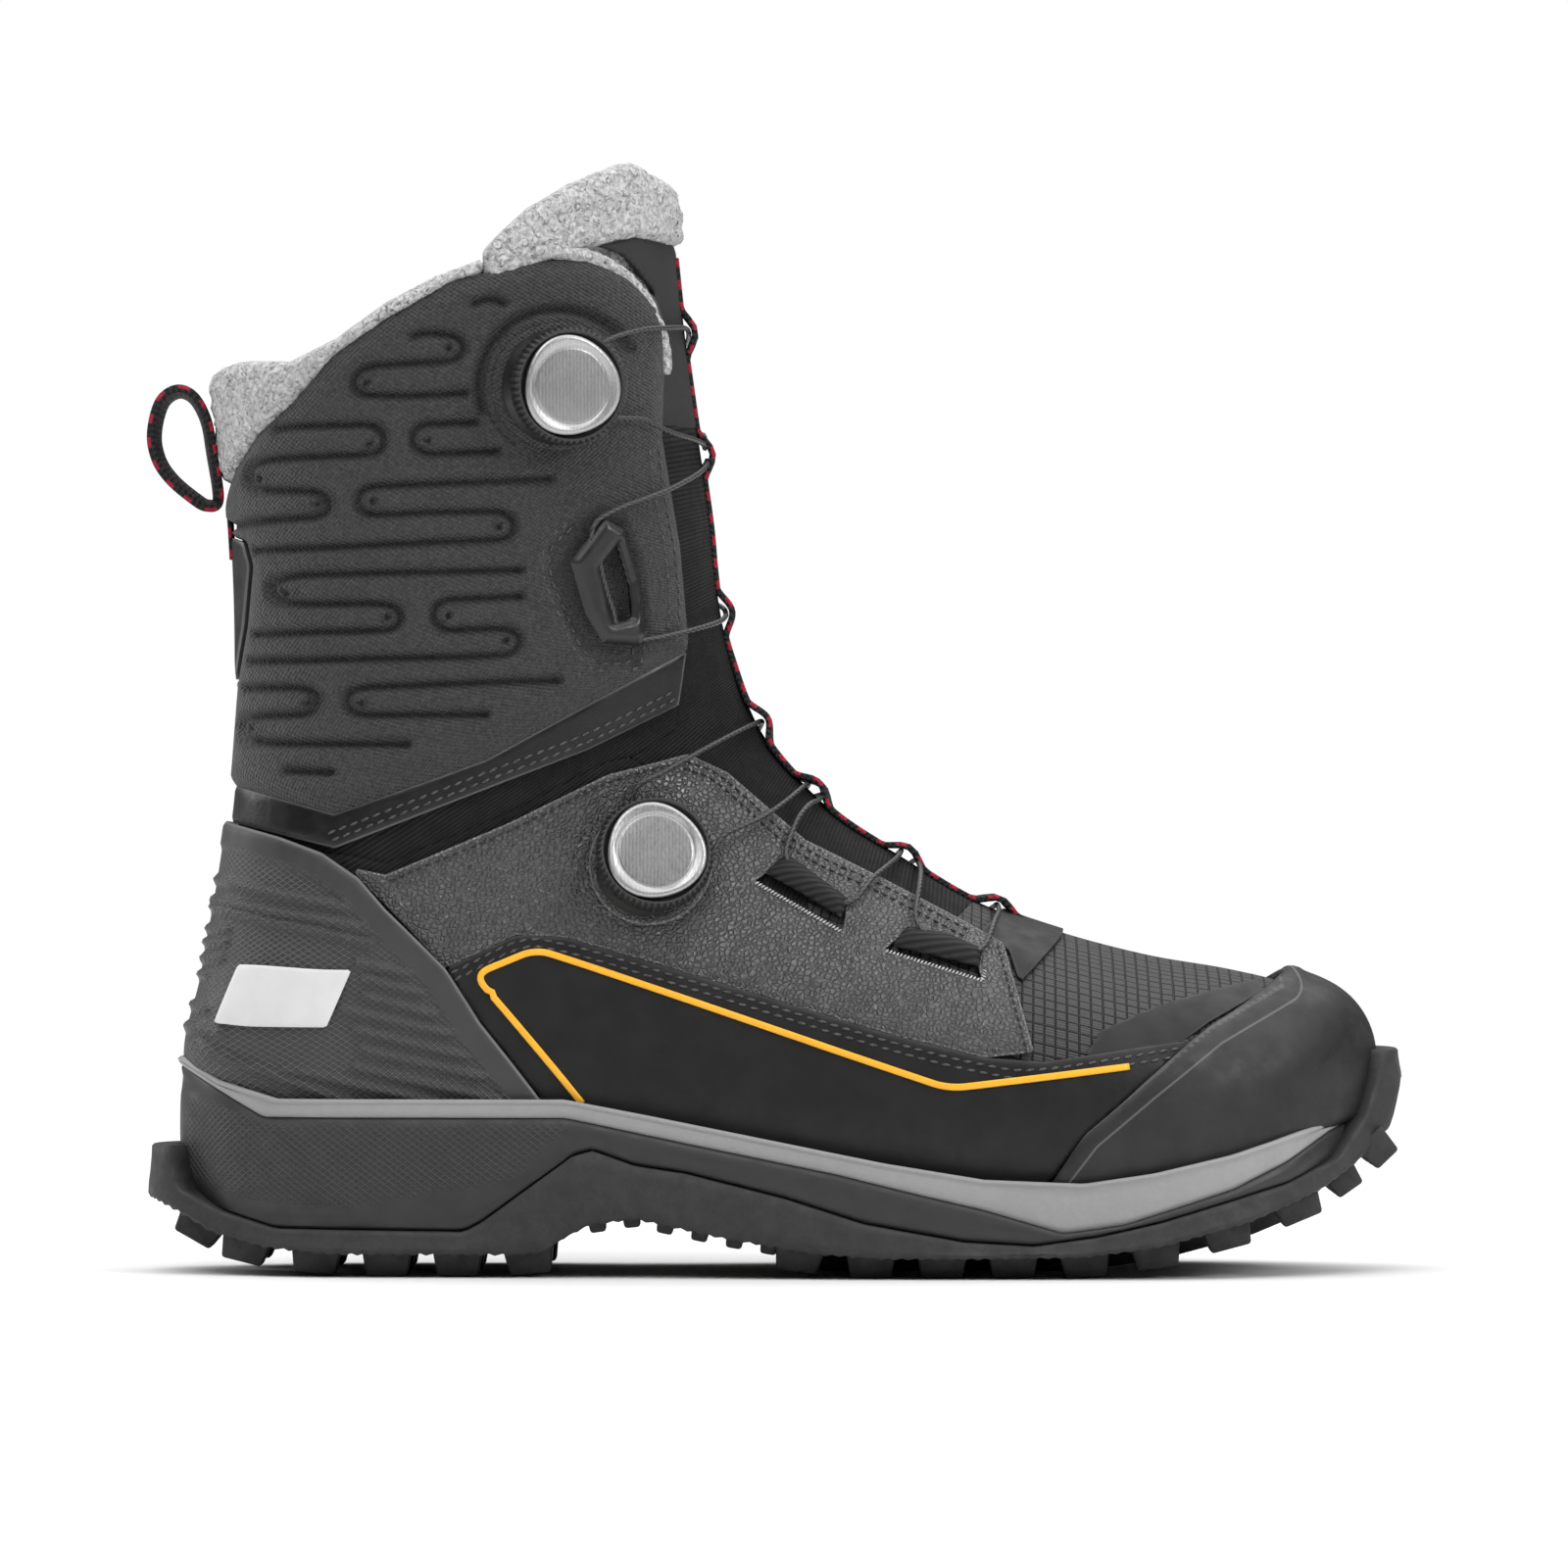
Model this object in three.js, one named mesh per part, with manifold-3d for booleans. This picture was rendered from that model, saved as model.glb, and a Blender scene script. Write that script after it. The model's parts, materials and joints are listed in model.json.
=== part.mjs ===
// A tall insulated winter boot for the right foot, closed by two winding dials. Millimetres, +Z up, toe towards +X,
// outer side of the foot towards -Y. The origin is on the ground, under the middle of the heel.
import * as THREE from "three";
import { mergeVertices } from "three/addons/utils/BufferGeometryUtils.js";
import Module from "manifold-3d";

const wasm = await Module();
wasm.setup();

// ---- Driving dimensions ----
// Patterns are drawn for the base size and graded to the three overall sizes, as shoe patterns are.
const base = { length: 310, width: 111, height: 276 };
const bootLength = 310; // outsole, heel to toe
const bootWidth = 111; // outsole across the ball of the foot
const bootHeight = 276; // ground to the top of the tongue

const gap = 0.3; // clearance between pieces that touch
const soleGap = 0.3; // glue line between sole layers

// wall thicknesses, from the inside out
const fleeceThick = 3.6;
const membraneThick = 0.7;
const fabricThick = 1.2;
const leatherThick = 1.6;
const randThick = 2;
const bandThick = 2;
const paddingThick = 4;
const counterThick = 3;
const filmThick = 0.8;
const toePuffThick = 1;
const toePuffInset = 4;
const toeCapThick = 2;
const pipingThick = 0.7;
const pipingWidth = 1.5;
const emblemThick = 0.6;
const fleeceRoll = 1.6; // how far the pile rolls out above the edge of the shell

// layers under the foot
const boardThick = 2;
const shankSize = { length: 110, width: 26, thick: 1.6 };

// outsole
const lugDepth = 5.5;
const lugLength = 12;
const lugWidth = 13;
const lugPitch = 17.5;
const outsoleFlare = 1.2; // the outsole stands out past the midsole
const outsoleWall = 4;
const outsoleFloor = 4.2;
const boardInset = 7; // insole board, in from the midsole's edge
const shankShift = 1.5; // towards the outer side
const shankStart = 15; // rear end of the shank, forward of the heel's middle
const soleLedge = 3.5; // how far the sole stands out past the upper's feather line

// winding dials
// heights are measured out from the upper, along the dial's axis
const dial = {
  knobRadius: 14.6,
  knobHeight: 5,
  knobTeeth: 20,
  toothDepth: 0.7,
  capRadius: 12.2,
  capLobe: 0.5,
  capThick: 1.5,
  housingRadius: 13.2,
  housingHeight: 4.6,
  floorHeight: 1.3,
  spoolRadius: 8.6,
  spoolHeight: 2.6,
  axleRadius: 1.7,
  splineRadius: 5,
  flangeRadius: 18,
  flangeThick: 1.1,
  runningGap: 0.4,
};
const laceRadius = 0.65;
const laceClearance = 0.35;

const webbingWidth = 10;
const webbingThick = 1.3;
const guideThick = 3.4; // lace guides and loops
const webbingStep = 4.5;
const webbingLift = 1.1;
const loopHalf = 9; // half the length of an arch
const loopRise = 3.2; // how far the instep webbing arches over each lace crossing
const pullLoopWidth = 10;
const pullLoopThick = 1.8;

const gradeX = bootLength / base.length;
const gradeY = bootWidth / base.width;
const gradeZ = bootHeight / base.height;

// ---- Small helpers ----
const group = new THREE.Group();

function material(color, roughness, metalness = 0) {
  return new THREE.MeshStandardMaterial({ color, roughness, metalness });
}

const finishes = {
  rubber: material(0x2b2b2d, 0.75),
  foam: material(0x303033, 0.8),
  greyFoam: material(0x8e8e90, 0.7),
  film: material(0x1f1f21, 0.5),
  leather: material(0x34353a, 0.55),
  textile: material(0x1c1c1e, 0.9),
  softshell: material(0x2e2c2d, 0.95),
  fleece: material(0x9b9b9d, 1),
  counter: material(0x3a3a3d, 0.6),
  plastic: material(0x26262a, 0.45),
  cap: material(0x9d9ea0, 0.35, 0.6),
  steel: material(0xb0b2b5, 0.3, 1),
  piping: material(0xf5b21c, 0.5),
  emblem: material(0xd9dadd, 0.5),
  lace: material(0x1b1b1d, 0.6),
  webbing: material(0x2a1f22, 0.9),
  board: material(0xc9b998, 0.9),
  membrane: material(0xe6e6e0, 0.6),
};

function toSolid(geometry) {
  const bare = geometry.index ? geometry.toNonIndexed() : geometry.clone();
  for (const name of Object.keys(bare.attributes)) {
    if (name !== "position") bare.deleteAttribute(name);
  }
  const merged = mergeVertices(bare, 1e-4);
  const positions = merged.attributes.position.array;
  const triVerts = facingOut(new Uint32Array(merged.index.array), positions);
  return new wasm.Manifold(new wasm.Mesh({ numProp: 3, vertProperties: positions, triVerts }));
}

// Shapes that come out of three.js inside out are turned the right way.
function facingOut(indices, positions) {
  const corner = (i) => new THREE.Vector3().fromArray(positions, 3 * indices[i]);
  let volume = 0;
  for (let i = 0; i < indices.length; i += 3) {
    volume += corner(i).dot(corner(i + 1).cross(corner(i + 2)));
  }
  return volume > 0 ? indices : indices.slice().reverse();
}

function toGeometry(solid) {
  const mesh = solid.getMesh();
  const geometry = new THREE.BufferGeometry();
  geometry.setAttribute("position", new THREE.BufferAttribute(new Float32Array(mesh.vertProperties), 3));
  geometry.setIndex(new THREE.BufferAttribute(new Uint32Array(mesh.triVerts), 1));
  return geometry;
}

function add(name, solid, finish) {
  const mesh = new THREE.Mesh(toGeometry(solid), finish);
  mesh.name = name;
  group.add(mesh);
}

const reach = 2 * bootHeight; // longer than anything in the boot

// Pattern points are given at the base size, in side view: x forward, z up.
function graded(points) {
  return points.map(([x, z]) => new THREE.Vector2(x * gradeX, z * gradeZ));
}

// A smooth edge through a few pattern points.
function curved(points, divisions = 3) {
  const curve = new THREE.SplineCurve(graded(points));
  return curve.getPoints(divisions * (points.length - 1));
}

function rectangle(x0, x1, z0, z1) {
  return [[x0, z0], [x1, z0], [x1, z1], [x0, z1]].map(([x, z]) => new THREE.Vector2(x, z));
}

function clean(outline) {
  return outline.filter((p, i) => p.distanceTo(outline[(i + 1) % outline.length]) > 0.05);
}

// The outline moved outwards by d along its normals.
function grown(outline, d) {
  const loop = clean(outline);
  const area = THREE.ShapeUtils.area(loop);
  return loop.map((p, i) => {
    const before = loop[(i + loop.length - 1) % loop.length];
    const after = loop[(i + 1) % loop.length];
    const a = p.clone().sub(before).normalize();
    const b = after.clone().sub(p).normalize();
    const normal = new THREE.Vector2(a.y + b.y, -a.x - b.x).normalize();
    const miter = Math.min(2, 1 / Math.max(0.5, normal.dot(new THREE.Vector2(a.y, -a.x))));
    return p.clone().addScaledVector(normal, Math.sign(area) * d * miter);
  });
}

// An open line made into an outline of the given width.
function ribbon(line, width) {
  const offset = (side) => line.map((p, i) => {
    const before = line[Math.max(0, i - 1)];
    const after = line[Math.min(line.length - 1, i + 1)];
    const a = p.clone().sub(before).normalize();
    const b = after.clone().sub(p).normalize();
    const along = a.clone().add(b).normalize();
    const stretch = i > 0 && i < line.length - 1 ? 1 / Math.max(0.5, along.dot(b)) : 1;
    const reach = side * width * 0.5 * stretch;
    return new THREE.Vector2(p.x - along.y * reach, p.y + along.x * reach);
  });
  return [...offset(1), ...offset(-1).reverse()];
}

// A side-view outline extruded across the boot from y0 to y1.
function prism(outline, y0 = -reach, y1 = reach) {
  const shape = new THREE.Shape(clean(outline));
  const geometry = new THREE.ExtrudeGeometry(shape, { depth: y1 - y0, bevelEnabled: false });
  geometry.rotateX(Math.PI / 2);
  geometry.translate(0, y1, 0);
  return toSolid(geometry);
}

// ---- The last: the foot-shaped form that every layer of the upper follows ----
// Each station is one section, from the tip of the toe to the top of the shaft. It runs from a point on the front
// (or top) line to a point on the back (or bottom) line in side view. Then come its centre and half width across
// the boot, where it is widest from front (0) to back (1), and its roundness towards the front and towards the back
// (1 is an ellipse, less is squarer).
const stations = [
  // front x, z, back x, z, centre y, half width, widest, round front, round back
  [243.5, 47, 243.5, 47, 6, 0, 0.5, 0.9, 0.9],
  [241.3, 58.5, 241.3, 36, 5.5, 15, 0.5, 0.85, 0.85],
  [235.5, 66, 235.5, 29.5, 5, 25, 0.52, 0.82, 0.8],
  [225, 71.5, 225, 24, 3.5, 35, 0.56, 0.8, 0.68],
  [209, 75.5, 209, 19.5, 2, 43.5, 0.6, 0.8, 0.62],
  [189, 79, 189, 16.5, 0, 48, 0.62, 0.8, 0.6],
  [167, 84.8, 166, 15.5, -1.5, 49.5, 0.62, 0.8, 0.6],
  [146, 92.5, 140, 16.5, -3, 48, 0.62, 0.8, 0.6],
  [127.4, 103.6, 108, 20, -4, 44.5, 0.62, 0.82, 0.6],
  [112, 113.5, 74, 24.5, -3.5, 40.5, 0.62, 0.85, 0.62],
  [100.5, 124.4, 38, 27, -1.5, 38, 0.62, 0.85, 0.64],
  [93, 134, 2, 27, 0, 37.5, 0.62, 0.85, 0.66],
  [88.6, 143, -32, 31, 0, 38, 0.6, 0.86, 0.72],
  [85.6, 151.5, -48.2, 50, 0, 38.5, 0.56, 0.88, 0.82],
  [83.2, 159.5, -44.5, 74, 0, 39, 0.52, 0.9, 0.9],
  [81.7, 167.5, -40, 100, 0, 39.5, 0.5, 0.92, 0.92],
  [80.7, 176, -37.2, 122, 0, 40, 0.5, 0.94, 0.94],
  [79.8, 186, -36.5, 146, 0, 41, 0.5, 0.95, 0.95],
  [78, 199, -36.8, 171, 0, 43, 0.5, 0.95, 0.95],
  [75.3, 217, -38.4, 196, 0, 45, 0.5, 0.95, 0.95],
  [72.5, 238, -42.3, 224, 0, 47, 0.5, 0.95, 0.95],
  [70, 262, -46, 254, 0, 48.5, 0.5, 0.95, 0.95],
  [67.5, 288, -50, 285, 0, 50, 0.5, 0.95, 0.95],
];

function lineThrough(pick) {
  return new THREE.CatmullRomCurve3(stations.map((s) => pick(...s)), false, "catmullrom");
}

const frontLine = lineThrough((fx, fz) => new THREE.Vector3(fx * gradeX, 0, fz * gradeZ));
const backLine = lineThrough((fx, fz, bx, bz) => new THREE.Vector3(bx * gradeX, 0, bz * gradeZ));
const widthLine = lineThrough((fx, fz, bx, bz, cy, half) => new THREE.Vector3(cy * gradeY, half * gradeY, 0));
const shapeLine = lineThrough((fx, fz, bx, bz, cy, half, widest, front, back) => {
  return new THREE.Vector3(widest, front, back);
});
const lastStation = stations.length - 1;

function power(value, exponent) {
  return Math.sign(value) * Math.abs(value) ** exponent;
}

// A point on the bare last at station t, turned by angle a from the front line (negative is the outer side).
function skin(t, a) {
  const u = THREE.MathUtils.clamp(t / lastStation, 0, 1);
  const front = frontLine.getPoint(u);
  const back = backLine.getPoint(u);
  const width = widthLine.getPoint(u);
  const shape = shapeLine.getPoint(u);
  const round = Math.cos(a) > 0 ? shape.y : shape.z;
  const along = (1 - power(Math.cos(a), round)) / 2;
  const share = along ** (Math.log(shape.x) / Math.log(0.5));
  const point = front.lerp(back, share);
  point.y = width.x + width.y * power(Math.sin(a), round);
  return point;
}

function skinNormal(t, a) {
  const dt = 0.05;
  const da = 0.06;
  const along = skin(t + dt, a).sub(skin(t - dt, a));
  const around = skin(t, a + da).sub(skin(t, a - da));
  return around.cross(along).normalize();
}

// A point that stands off the last by lift.
function offSkin(t, a, lift) {
  return skin(t, a).addScaledVector(skinNormal(t, a), lift);
}

// Rings are closer together at the toe, where the form closes.
const ringStations = [0.5, 1.2, 2.1, 3.1];
for (let t = 4.3; t < 15; t += 1.3) ringStations.push(t);
for (let t = 16.9; t < lastStation - 1; t += 2.1) ringStations.push(t);
ringStations.push(lastStation);
const pointsAround = 14;
const volumes = new Map();

// The closed volume of the last, grown by lift.
function lastVolume(lift) {
  const key = lift.toFixed(3);
  if (volumes.has(key)) return volumes.get(key);
  const tip = skin(0, 0);
  tip.x += lift;
  const positions = [...tip];
  for (const t of ringStations) {
    for (let i = 0; i < pointsAround; i++) {
      positions.push(...offSkin(t, (i / pointsAround - 0.5) * 2 * Math.PI, lift));
    }
  }
  const crown = offSkin(lastStation, 0, lift).lerp(offSkin(lastStation, Math.PI, lift), 0.5);
  positions.push(...crown);
  const ringStart = (r) => 1 + r * pointsAround;
  const top = ringStations.length - 1;
  const index = [];
  for (let i = 0; i < pointsAround; i++) {
    const j = (i + 1) % pointsAround;
    index.push(0, ringStart(0) + j, ringStart(0) + i);
    for (let r = 0; r < top; r++) {
      const a = ringStart(r) + i;
      const b = ringStart(r) + j;
      const c = ringStart(r + 1) + i;
      const d = ringStart(r + 1) + j;
      index.push(a, b, c, b, d, c);
    }
    index.push(ringStart(top) + i, ringStart(top) + j, ringStart(top + 1));
  }
  const geometry = new THREE.BufferGeometry();
  geometry.setAttribute("position", new THREE.Float32BufferAttribute(positions, 3));
  geometry.setIndex(index);
  const volume = toSolid(geometry);
  volumes.set(key, volume);
  return volume;
}

// Everything between two lifts off the last.
function layer(inner, outer) {
  return lastVolume(outer).subtract(lastVolume(inner));
}

const bothSides = [-reach, reach];
const outerSide = [-reach, -gap / 2]; // the two halves meet at the middle of the boot
const innerSide = [gap / 2, reach];

// A piece of one layer inside a side-view outline.
function panel(inner, outer, outline, side = bothSides) {
  return layer(inner, outer).intersect(prism(outline, ...side));
}

// Cutting can leave loose crumbs: the piece is the biggest body.
function biggest(solid) {
  return solid.decompose().reduce((best, part) => (part.volume() > best.volume() ? part : best));
}

// The station and angle of a side-view point (base size) on the outer (-1) or inner (1) side.
function locate(x, z, side) {
  const target = new THREE.Vector2(x * gradeX, z * gradeZ);
  let best = { miss: Infinity };
  const miss = (t, a) => {
    const p = skin(t, a * side);
    return Math.hypot(p.x - target.x, p.z - target.y);
  };
  for (let t = 0.5; t <= lastStation; t += 0.5) {
    for (let a = 0.05; a < Math.PI; a += 0.15) {
      const now = miss(t, a);
      if (now < best.miss) best = { miss: now, t, a };
    }
  }
  for (let step = 0.25; step > 1e-4; step *= 0.7) {
    for (const [dt, da] of [[1, 0], [-1, 0], [0, 1], [0, -1], [1, 1], [-1, -1], [1, -1], [-1, 1]]) {
      const t = THREE.MathUtils.clamp(best.t + dt * step, 0.3, lastStation);
      const a = THREE.MathUtils.clamp(best.a + da * step * 0.4, 0.01, Math.PI - 0.01);
      const now = miss(t, a);
      if (now < best.miss) best = { miss: now, t, a };
    }
  }
  return { t: best.t, a: best.a * side };
}

// The station where the front line comes nearest to a side-view point (base size).
function frontStation(x, z) {
  let best = { miss: Infinity };
  for (let t = 4; t <= lastStation; t += 0.01) {
    const p = skin(t, 0);
    const miss = Math.hypot(p.x - x * gradeX, p.z - z * gradeZ);
    if (miss < best.miss) best = { miss, t };
  }
  return best.t;
}

// The angle at station t of a point y across from the middle of the section.
function acrossAngle(t, y) {
  const u = t / lastStation;
  const share = Math.min(1, Math.abs(y) / widthLine.getPoint(u).y);
  return Math.sign(y) * Math.asin(share ** (1 / shapeLine.getPoint(u).y));
}

// ---- Lifts: where each layer of the upper starts and ends, out from the last ----
const lift = {
  fabric: [-fabricThick, 0],
  membrane: [-fabricThick - gap - membraneThick, -fabricThick - gap],
};
lift.fleece = [lift.membrane[0] - gap - fleeceThick, lift.membrane[0] - gap];
lift.leather = [gap, gap + leatherThick];
lift.band = [gap, gap + bandThick];
lift.rand = [gap, gap + randThick];
lift.padding = [gap, gap + paddingThick];
lift.counter = [gap, gap + counterThick];
lift.toePuff = [gap, gap + toePuffThick];
lift.toeCap = [lift.toePuff[1] + gap, lift.toePuff[1] + gap + toeCapThick];
lift.film = [gap, gap + filmThick];
lift.piping = [lift.rand[1] + gap, lift.rand[1] + gap + pipingThick];
lift.emblem = [lift.counter[1] + gap, lift.counter[1] + gap + emblemThick];

// ---- Side-view pattern lines, base size ----
const farBelow = -2 * base.height;
const farAbove = 2 * base.height;
const farBack = -base.length;
const farFront = 2 * base.length;

function below(line, start = farBack, end = farFront) {
  const first = line[0];
  const last = line[line.length - 1];
  return graded([[start, farBelow], [end, farBelow], [end, last[1]], ...line.slice().reverse(), [start, first[1]]]);
}

function above(line, start = farBack, end = farFront) {
  const first = line[0];
  const last = line[line.length - 1];
  return graded([[start, farAbove], [start, first[1]], ...line, [end, last[1]], [end, farAbove]]);
}

function lifted(line, dz) {
  return line.map(([x, z]) => [x, z + dz / gradeZ]);
}

const featherLine = [
  [-51.5, 53.5], [-41.7, 48.1], [-27, 43.9], [44.2, 43.9], [63.8, 40.2], [98.1, 33.4], [122.7, 28.5],
  [147.2, 24.5], [171.7, 23.5], [188.9, 26], [208.5, 30.4], [225.7, 35.8], [243.3, 41.5],
];
const bandLine = [
  [-52.7, 51.8], [-30.7, 39.5], [44.2, 39.5], [73.6, 33.4], [110.4, 26], [132.5, 20.6], [147.2, 17.2],
  [166.8, 11.4], [181.5, 13.5], [208.5, 22], [222, 28.5], [233, 35.5], [243.3, 40.5],
];
const outsoleLine = [
  [-55.2, 31.9], [-54, 24.5], [-52.5, 21.3], [-41.8, 16], [-28, 12], [19.1, 11.4], [23.3, 13.6], [46, 30.2],
  [50.9, 31.5], [61.3, 27.8], [73.6, 26], [98.1, 19.9], [117.7, 13.7], [142.3, 9.3], [159.4, 8.3], [175, 10.5],
  [190.7, 14], [222, 23.1], [235.5, 28.9], [243, 40], [246, 50], [247.7, 55.7],
];
const treadLine = [
  [-58.9, 18.9], [-52, 15.7], [-43.4, 10.8], [-30.4, 7.5], [-14.2, 5.9], [31.4, 5.9], [38.8, 6.6], [43.7, 9.9],
  [50, 13.2], [61.3, 14.8], [83.4, 10.1], [105.5, 6.4], [122.7, 5.2], [147.2, 5.2], [171.7, 5.6], [190.6, 8.1],
  [212.7, 14], [230.8, 21.6], [240.1, 28.1], [248.6, 36.3], [251.4, 47.6], [251.1, 52.5],
];
const collarEdge = [
  [-41.2, 191.6], [-36.8, 200.2], [-30.7, 208.7], [-22.1, 216.1], [-12.3, 227.2], [0, 235.7], [17.2, 245.5],
  [34.3, 249.7], [49.1, 251.7], [58.9, 248], [65, 241.9], [67.5, 234.5],
];
const fleeceEdge = [
  [-60, 223], [-43, 226.6], [-36.8, 228], [-24.5, 227.4], [-12.3, 232.9], [0, 241.6], [12.3, 248], [24.5, 252.5],
  [39.2, 255.2], [49.1, 255.2], [58.9, 252], [66, 244],
];
const shaftFront = [[67.5, 234.5], [66.7, 207.5], [71.1, 180.5], [73.2, 156]];
const panelFoot = [[72.9, 154.8], [24.5, 127.8], [-12.3, 114.3], [-39.2, 121.7]];
const bandFoot = [[71.1, 141.3], [49.1, 130.3], [24.5, 120.4], [-12.3, 105.7], [-39.2, 112.3]];
const stayFront = [[-39.4, 121.7], [-36.8, 146.2], [-33.9, 160.9], [-32.4, 176], [-34, 182], [-41, 185]];
const counterEdge = [
  [-39.2, 112.3], [-24.5, 108.2], [-14.7, 104.5], [-6.1, 98.4], [0, 91], [14.7, 76.3], [23.3, 62.8], [38.8, 43.9],
];
const quarterTop = [
  [-9, 101.2], [0, 99.3], [30, 112.2], [54, 124.1], [73.6, 129], [83.4, 124.1], [103, 107], [122.7, 97.1],
  [143.5, 86.1], [152.1, 81.2], [159.4, 55.4],
];
const randTop = [
  [14.7, 76.3], [31.9, 84.4], [44.2, 83.6], [73.6, 75.1], [122.7, 60.3], [147.2, 54.2], [161.9, 53], [196.2, 57.4],
];
const toeCapEdge = [
  [163.1, 24.5], [171.7, 35.8], [186.4, 48.1], [203.6, 61.6], [218, 69.5], [222.5, 72], [218.3, 80],
];
const pipingRoute = [
  [47.5, 45.5], [22.1, 74.6], [35.6, 79.5], [40.5, 79.2], [143.5, 47.3], [157, 47.3], [182.3, 51],
];

// ---- The upper, from the foot out ----
const footRegion = below([[-100, 112], [-9, 104], [0, 102], [30, 114.5], [54, 127], [73.6, 131.5]]);
const tongueOutline = graded([
  [44, 150], [120, 150], [100, 262], [73, 266], [68.7, 271.3], [60.1, 275.7], [47, 270], [36, 263.5], [29, 257.5],
  [24.5, 252.8], [24, 240], [38, 200],
]);
const tonguePanelTop = [[24, 244], [49.1, 253.6], [61.3, 257.1], [69.4, 256.1], [100, 256]];
const tongueFoot = 210;

function fleeceLining() {
  const sock = layer(...lift.fleece).intersect(prism(below(fleeceEdge, -80, 66)).add(prism(graded([
    [0, -20], [farFront, -20], [farFront, 200], [60, 200],
  ]))));
  const roll = layer(lift.fleece[1] - gap, lift.padding[1] - fleeceRoll)
    .intersect(prism(below(fleeceEdge, -80, 66)))
    .subtract(prism(below(lifted(collarEdge, gap), -80, 67.5)))
    .subtract(prism(graded([[66, 0], [farFront, 0], [farFront, 300], [66, 300]])));
  const tongueSpace = prism(grown(tongueOutline, gap)).intersect(lastVolume(lift.fleece[1] + gap));
  return biggest(sock.add(roll).subtract(tongueSpace));
}

function tongueFleece() {
  const lining = panel(...lift.fleece, tongueOutline);
  const roll = panel(lift.fleece[1] - gap, fleeceRoll, tongueOutline)
    .intersect(prism(above(lifted(tonguePanelTop, gap))))
    .subtract(prism(below(lifted(fleeceEdge, gap), -80, 66.3)));
  return biggest(lining.add(roll));
}

function cutCollar(solid) {
  return solid.subtract(prism(above(lifted(collarEdge, -gap), -80, farFront)));
}

add("fleece_lining", fleeceLining(), finishes.fleece);
add("tongue_fleece", tongueFleece(), finishes.fleece);
add("membrane_bootie", cutCollar(layer(...lift.membrane)), finishes.membrane);

// The base textile: one sock of five cut pieces.
const baseCloth = cutCollar(layer(...lift.fabric));
const tongueClothOutline = graded([
  [20, 200], [120, 200], [100, 262], ...tonguePanelTop.slice(0, 4).reverse(),
]);
const strobelLine = lifted(featherLine, -6);
const strobel = layer(...lift.fabric).intersect(prism(below(strobelLine)));
add("strobel_sole", biggest(strobel), finishes.board);
add("tongue_panel", biggest(layer(...lift.fabric)
  .intersect(prism(tongueClothOutline))
  .intersect(prism(above([[0, tongueFoot], [120, tongueFoot]])))
  .subtract(prism(below(lifted(fleeceEdge, gap), -80, 66.3)))), finishes.textile);

const tongueSpace = prism(grown(tongueClothOutline, gap))
  .intersect(prism(above([[0, tongueFoot - gap], [120, tongueFoot - gap]])));
const upperCloth = baseCloth.subtract(prism(below(lifted(strobelLine, gap)))).subtract(tongueSpace);
const gussetOutline = graded([
  [66, 215], [66.7, 207.5], [71.1, 180.5], [73.2, 156], [71, 135], [60, 128], [95, 108], [103, 100], [135, 83],
  [149, 96], [150, 215],
]);
const vampOutline = graded([[104, -20], [104, 98], [134, 82], [150, 100], [farFront, 100], [farFront, -20]]);
add("instep_gusset", biggest(upperCloth.intersect(prism(gussetOutline))), finishes.textile);
add("vamp_textile", biggest(upperCloth
  .intersect(prism(vampOutline))
  .subtract(prism(grown(gussetOutline, gap)))), finishes.textile);
const rest = upperCloth.subtract(prism(grown(gussetOutline, gap))).subtract(prism(grown(vampOutline, gap)));
add("shaft_backing", biggest(rest.subtract(prism(footRegion))), finishes.textile);
add("foot_backing", biggest(rest.intersect(prism(grown(footRegion, -gap)))), finishes.textile);

// Overlays, cut edge to edge in side view.
const aboveFeather = prism(above(lifted(featherLine, gap)));
const shaftOutline = [
  ...graded(collarEdge), ...graded(shaftFront.slice(1, 3)), ...graded([[73.2, 158]]), ...graded(panelFoot),
  ...graded(stayFront),
];
const bandOutline = graded([...panelFoot, ...bandFoot.slice().reverse()]);
const stayOutline = graded([[-39.2, 112.3], ...stayFront, [-80, 186], [-80, 112.3]]);
const counterOutline = graded([[-80, 112.3], ...counterEdge, [38.8, 20], [-80, 20]]);
const randOutline = graded([
  [14.7, 76.3], ...randTop.slice(1), [203.6, 61.6], [186.4, 48.1], [171.7, 35.8], [163.1, 24.5], [163, 10],
  [38.8, 10],
  [38.8, 43.9], [23.3, 62.8],
]);
const quarterOutline = graded([
  ...quarterTop, [147.2, 54.2], [122.7, 60.3], [73.6, 75.1], [44.2, 83.6], [31.9, 84.4], [14.7, 76.3],
]);
const toeOutline = graded([...toeCapEdge, [270, 120], [270, 10], [163.1, 10]]);
const patchOutlines = {
  vamp: graded([[153.5, 80], [146.5, 84.5], [158.7, 95], [170, 90], [167, 83], [156, 72]]),
  heel: graded([[-40, 62], [-14, 62], [-8, 76], [-34, 76]]),
};
const filmOutline = graded([
  [171.5, 54], [176, 60.5], [190, 66.2], [205, 70], [216.5, 72.5], [217, 69.5], [203, 62.3], [196.2, 57.8],
]);
const sides = [["outer", outerSide], ["inner", innerSide]];
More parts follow.
